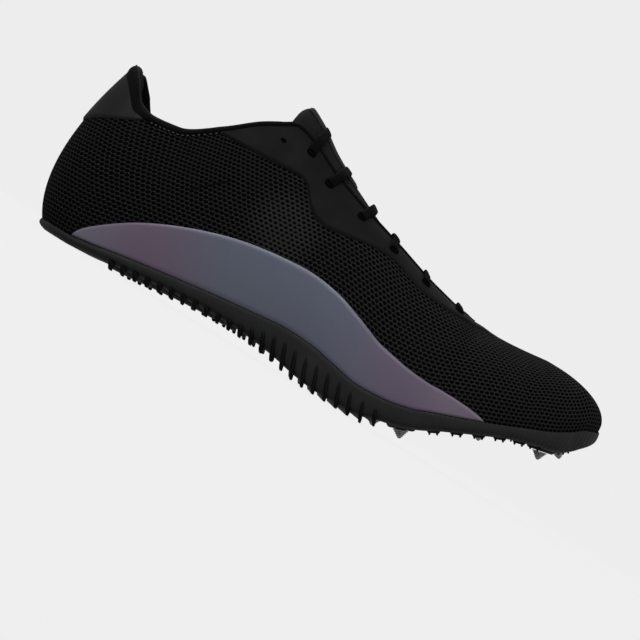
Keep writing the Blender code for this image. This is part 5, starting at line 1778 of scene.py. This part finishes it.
@dataclass
class Insole:
    """The footbed inside, with a cloth top and a soft rolled edge."""

    wardrobe: Wardrobe
    thickness: float = 0.0040
    dish: float = 0.0005
    plate: float = 0.0024
    # inset and share of the thickness for each line round the footbed's edge
    rolled: tuple[tuple[float, float], ...] = (
        (0.0054, 0.0), (0.0050, 0.30), (0.0050, 0.65), (0.0056, 0.90), (0.0066, 1.0))
    columns: int = 221

    def build(self) -> None:
        """Model the footbed on the plate's bed."""
        turn = np.linspace(-math.pi, math.pi, self.columns)
        middle = flat_ring(LAST.frame(turn)[4])
        low = self.plate + GAP
        lines = []
        for inset, share in self.rolled:
            point = Plate.ring(turn, inset, level=LAST.bed)
            point[:, 2] += low + self.thickness * share
            lines.append(point)
        lines += fan(lines[-1], middle, [k / 8 for k in range(1, 9)], lambda x, share: (
            LAST.bed(x) + low + self.thickness - self.dish * math.sin(math.pi * min(1.0, share * 1.2))))
        bottom = fan(lines[0], middle, [1 - k / 4 for k in range(5)], lambda x, _: LAST.bed(x) + low)
        points = np.stack(bottom + lines[1:], 1)
        made = grid("footbed", LAST.world(points), arc_uv(points, self.columns // 2))
        tidy(made, 5e-6)
        finish_piece(made, self.wardrobe.insole, Slot.INSOLE, "insole", angle=50.0)


# name, place, size in metres and power in watts
LIGHTS = [("key", (-0.5, -0.9, 1.3), 0.9, 9.0), ("rim", (-0.6, 0.9, 1.1), 0.8, 7.0),
          ("fill", (0.9, -0.8, 0.6), 0.9, 1.8)]


@dataclass
class Studio:
    """A pale floor that runs up into a backdrop, soft lights and the photograph's camera."""

    distance: float = 0.557
    roll: float = 31.51
    azimuth: float = -0.53
    elevation: float = -2.5
    aim: tuple[float, float, float] = (0.001355, -0.000482, 0.031)
    white: float = 0.838
    glow: float = 0.22
    sky: float = 0.33
    lens_turn: float = 30.0
    sensor: float = 36.0

    def build(self) -> None:
        """Build floor, light and camera."""
        self.floor()
        self.lights()
        self.camera()
        bpy.context.scene.view_settings.view_transform = "Standard"
        bpy.context.scene.view_settings.look = "None"

    def floor(self) -> None:
        """Model the floor, which curves up behind and before the shoe."""
        reach, bend, tall = 3.0, 1.2, 3.0
        profile = [(-reach, tall), (-reach, bend)]
        for k in range(1, 13):
            angle = math.pi / 2 * k / 12
            profile.append((-reach + bend * (1 - math.cos(angle)), bend * (1 - math.sin(angle))))
        profile += [(reach * 0.3 * k, 0.0) for k in range(-1, 2)]
        profile += [(-y, z) for y, z in profile[:14][::-1]]
        points = np.array([[(x, y, z - 0.0002) for y, z in profile] for x in np.linspace(-3.5, 3.5, 9)])
        made = grid("studio_floor", points)
        face_out(made)
        surface = bpy.data.materials.new("studio white")
        surface.use_nodes = True
        shader = surface.node_tree.nodes["Principled BSDF"]
        for key, value in (("Base Color", (0.03, 0.03, 0.03, 1)), ("Roughness", 1.0),
                           ("Specular IOR Level", 0.0), ("Emission Strength", 1.0)):
            shader.inputs[key].default_value = value
        self.tone(surface.node_tree, shader.inputs["Emission Color"], self.glow)
        made.data.materials.append(surface)
        smooth(made, 80.0)

    def lights(self) -> None:
        """Hang the soft lights and set the sky."""
        world = bpy.data.worlds.new("studio")
        bpy.context.scene.world = world
        world.use_nodes = True
        self.tone(world.node_tree, world.node_tree.nodes["Background"].inputs["Color"], self.sky)
        for name, place, size, power in LIGHTS:
            bpy.ops.object.select_all(action="DESELECT")
            bpy.ops.object.light_add(type="AREA", location=place)
            light = bpy.context.active_object
            light.name = name
            light.data.size = size
            light.data.energy = power
            aimed = Vector((0, 0, 0.04)) - Vector(place)
            light.rotation_euler = aimed.to_track_quat("-Z", "Y").to_euler()

    def tone(self, tree: bpy.types.NodeTree, socket: bpy.types.NodeSocket, lit: float) -> None:
        """Show the camera the studio's white, and give all else a dimmer tone as light."""
        net = Net(tree)
        seen = net.node("ShaderNodeLightPath").outputs["Is Camera Ray"]
        net.feed(socket, net.mix(seen, *[(shade, shade, shade, 1.0) for shade in (lit, self.white)]))

    def camera(self) -> None:
        """Stand the camera at the photograph's angle, rolled as it is there."""
        azimuth, elevation, roll = map(math.radians, (self.azimuth, self.elevation, self.roll))
        ahead = Vector((-math.sin(azimuth) * math.cos(elevation), math.cos(azimuth) * math.cos(elevation),
                        -math.sin(elevation)))
        right = Vector((math.cos(azimuth), math.sin(azimuth), 0.0))
        above = right.cross(ahead)
        level = math.cos(roll) * right + math.sin(roll) * above
        upright = -math.sin(roll) * right + math.cos(roll) * above
        bpy.ops.object.select_all(action="DESELECT")
        bpy.ops.object.camera_add(location=Vector(self.aim) - ahead * self.distance)
        camera = bpy.context.active_object
        camera.name = "camera"
        camera.rotation_euler = Matrix((level, upright, -ahead)).transposed().to_euler()
        camera.data.lens = self.sensor / 2 / math.tan(math.radians(self.lens_turn / 2))
        camera.data.sensor_width = self.sensor
        camera.data.clip_start = 0.01
        bpy.context.scene.camera = camera


def main() -> None:
    """Build the shoe's pieces in order."""
    logging.basicConfig(level=logging.INFO, format="%(name)s %(message)s", force=True)
    LOG.info("%d packed nodes", len(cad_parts))
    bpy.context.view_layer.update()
    Studio().build()
    wardrobe = Wardrobe()
    for part in (Upper(wardrobe), Eyestay(wardrobe), HeelTab(wardrobe), CollarRoll(wardrobe),
                 GuardPanel(wardrobe), Tongue(wardrobe), Laces(wardrobe), Plate(wardrobe), Spikes(wardrobe),
                 Insole(wardrobe)):
        part.build()
        LOG.info("%s done", type(part).__name__)


if __name__ == "__main__":
    main()
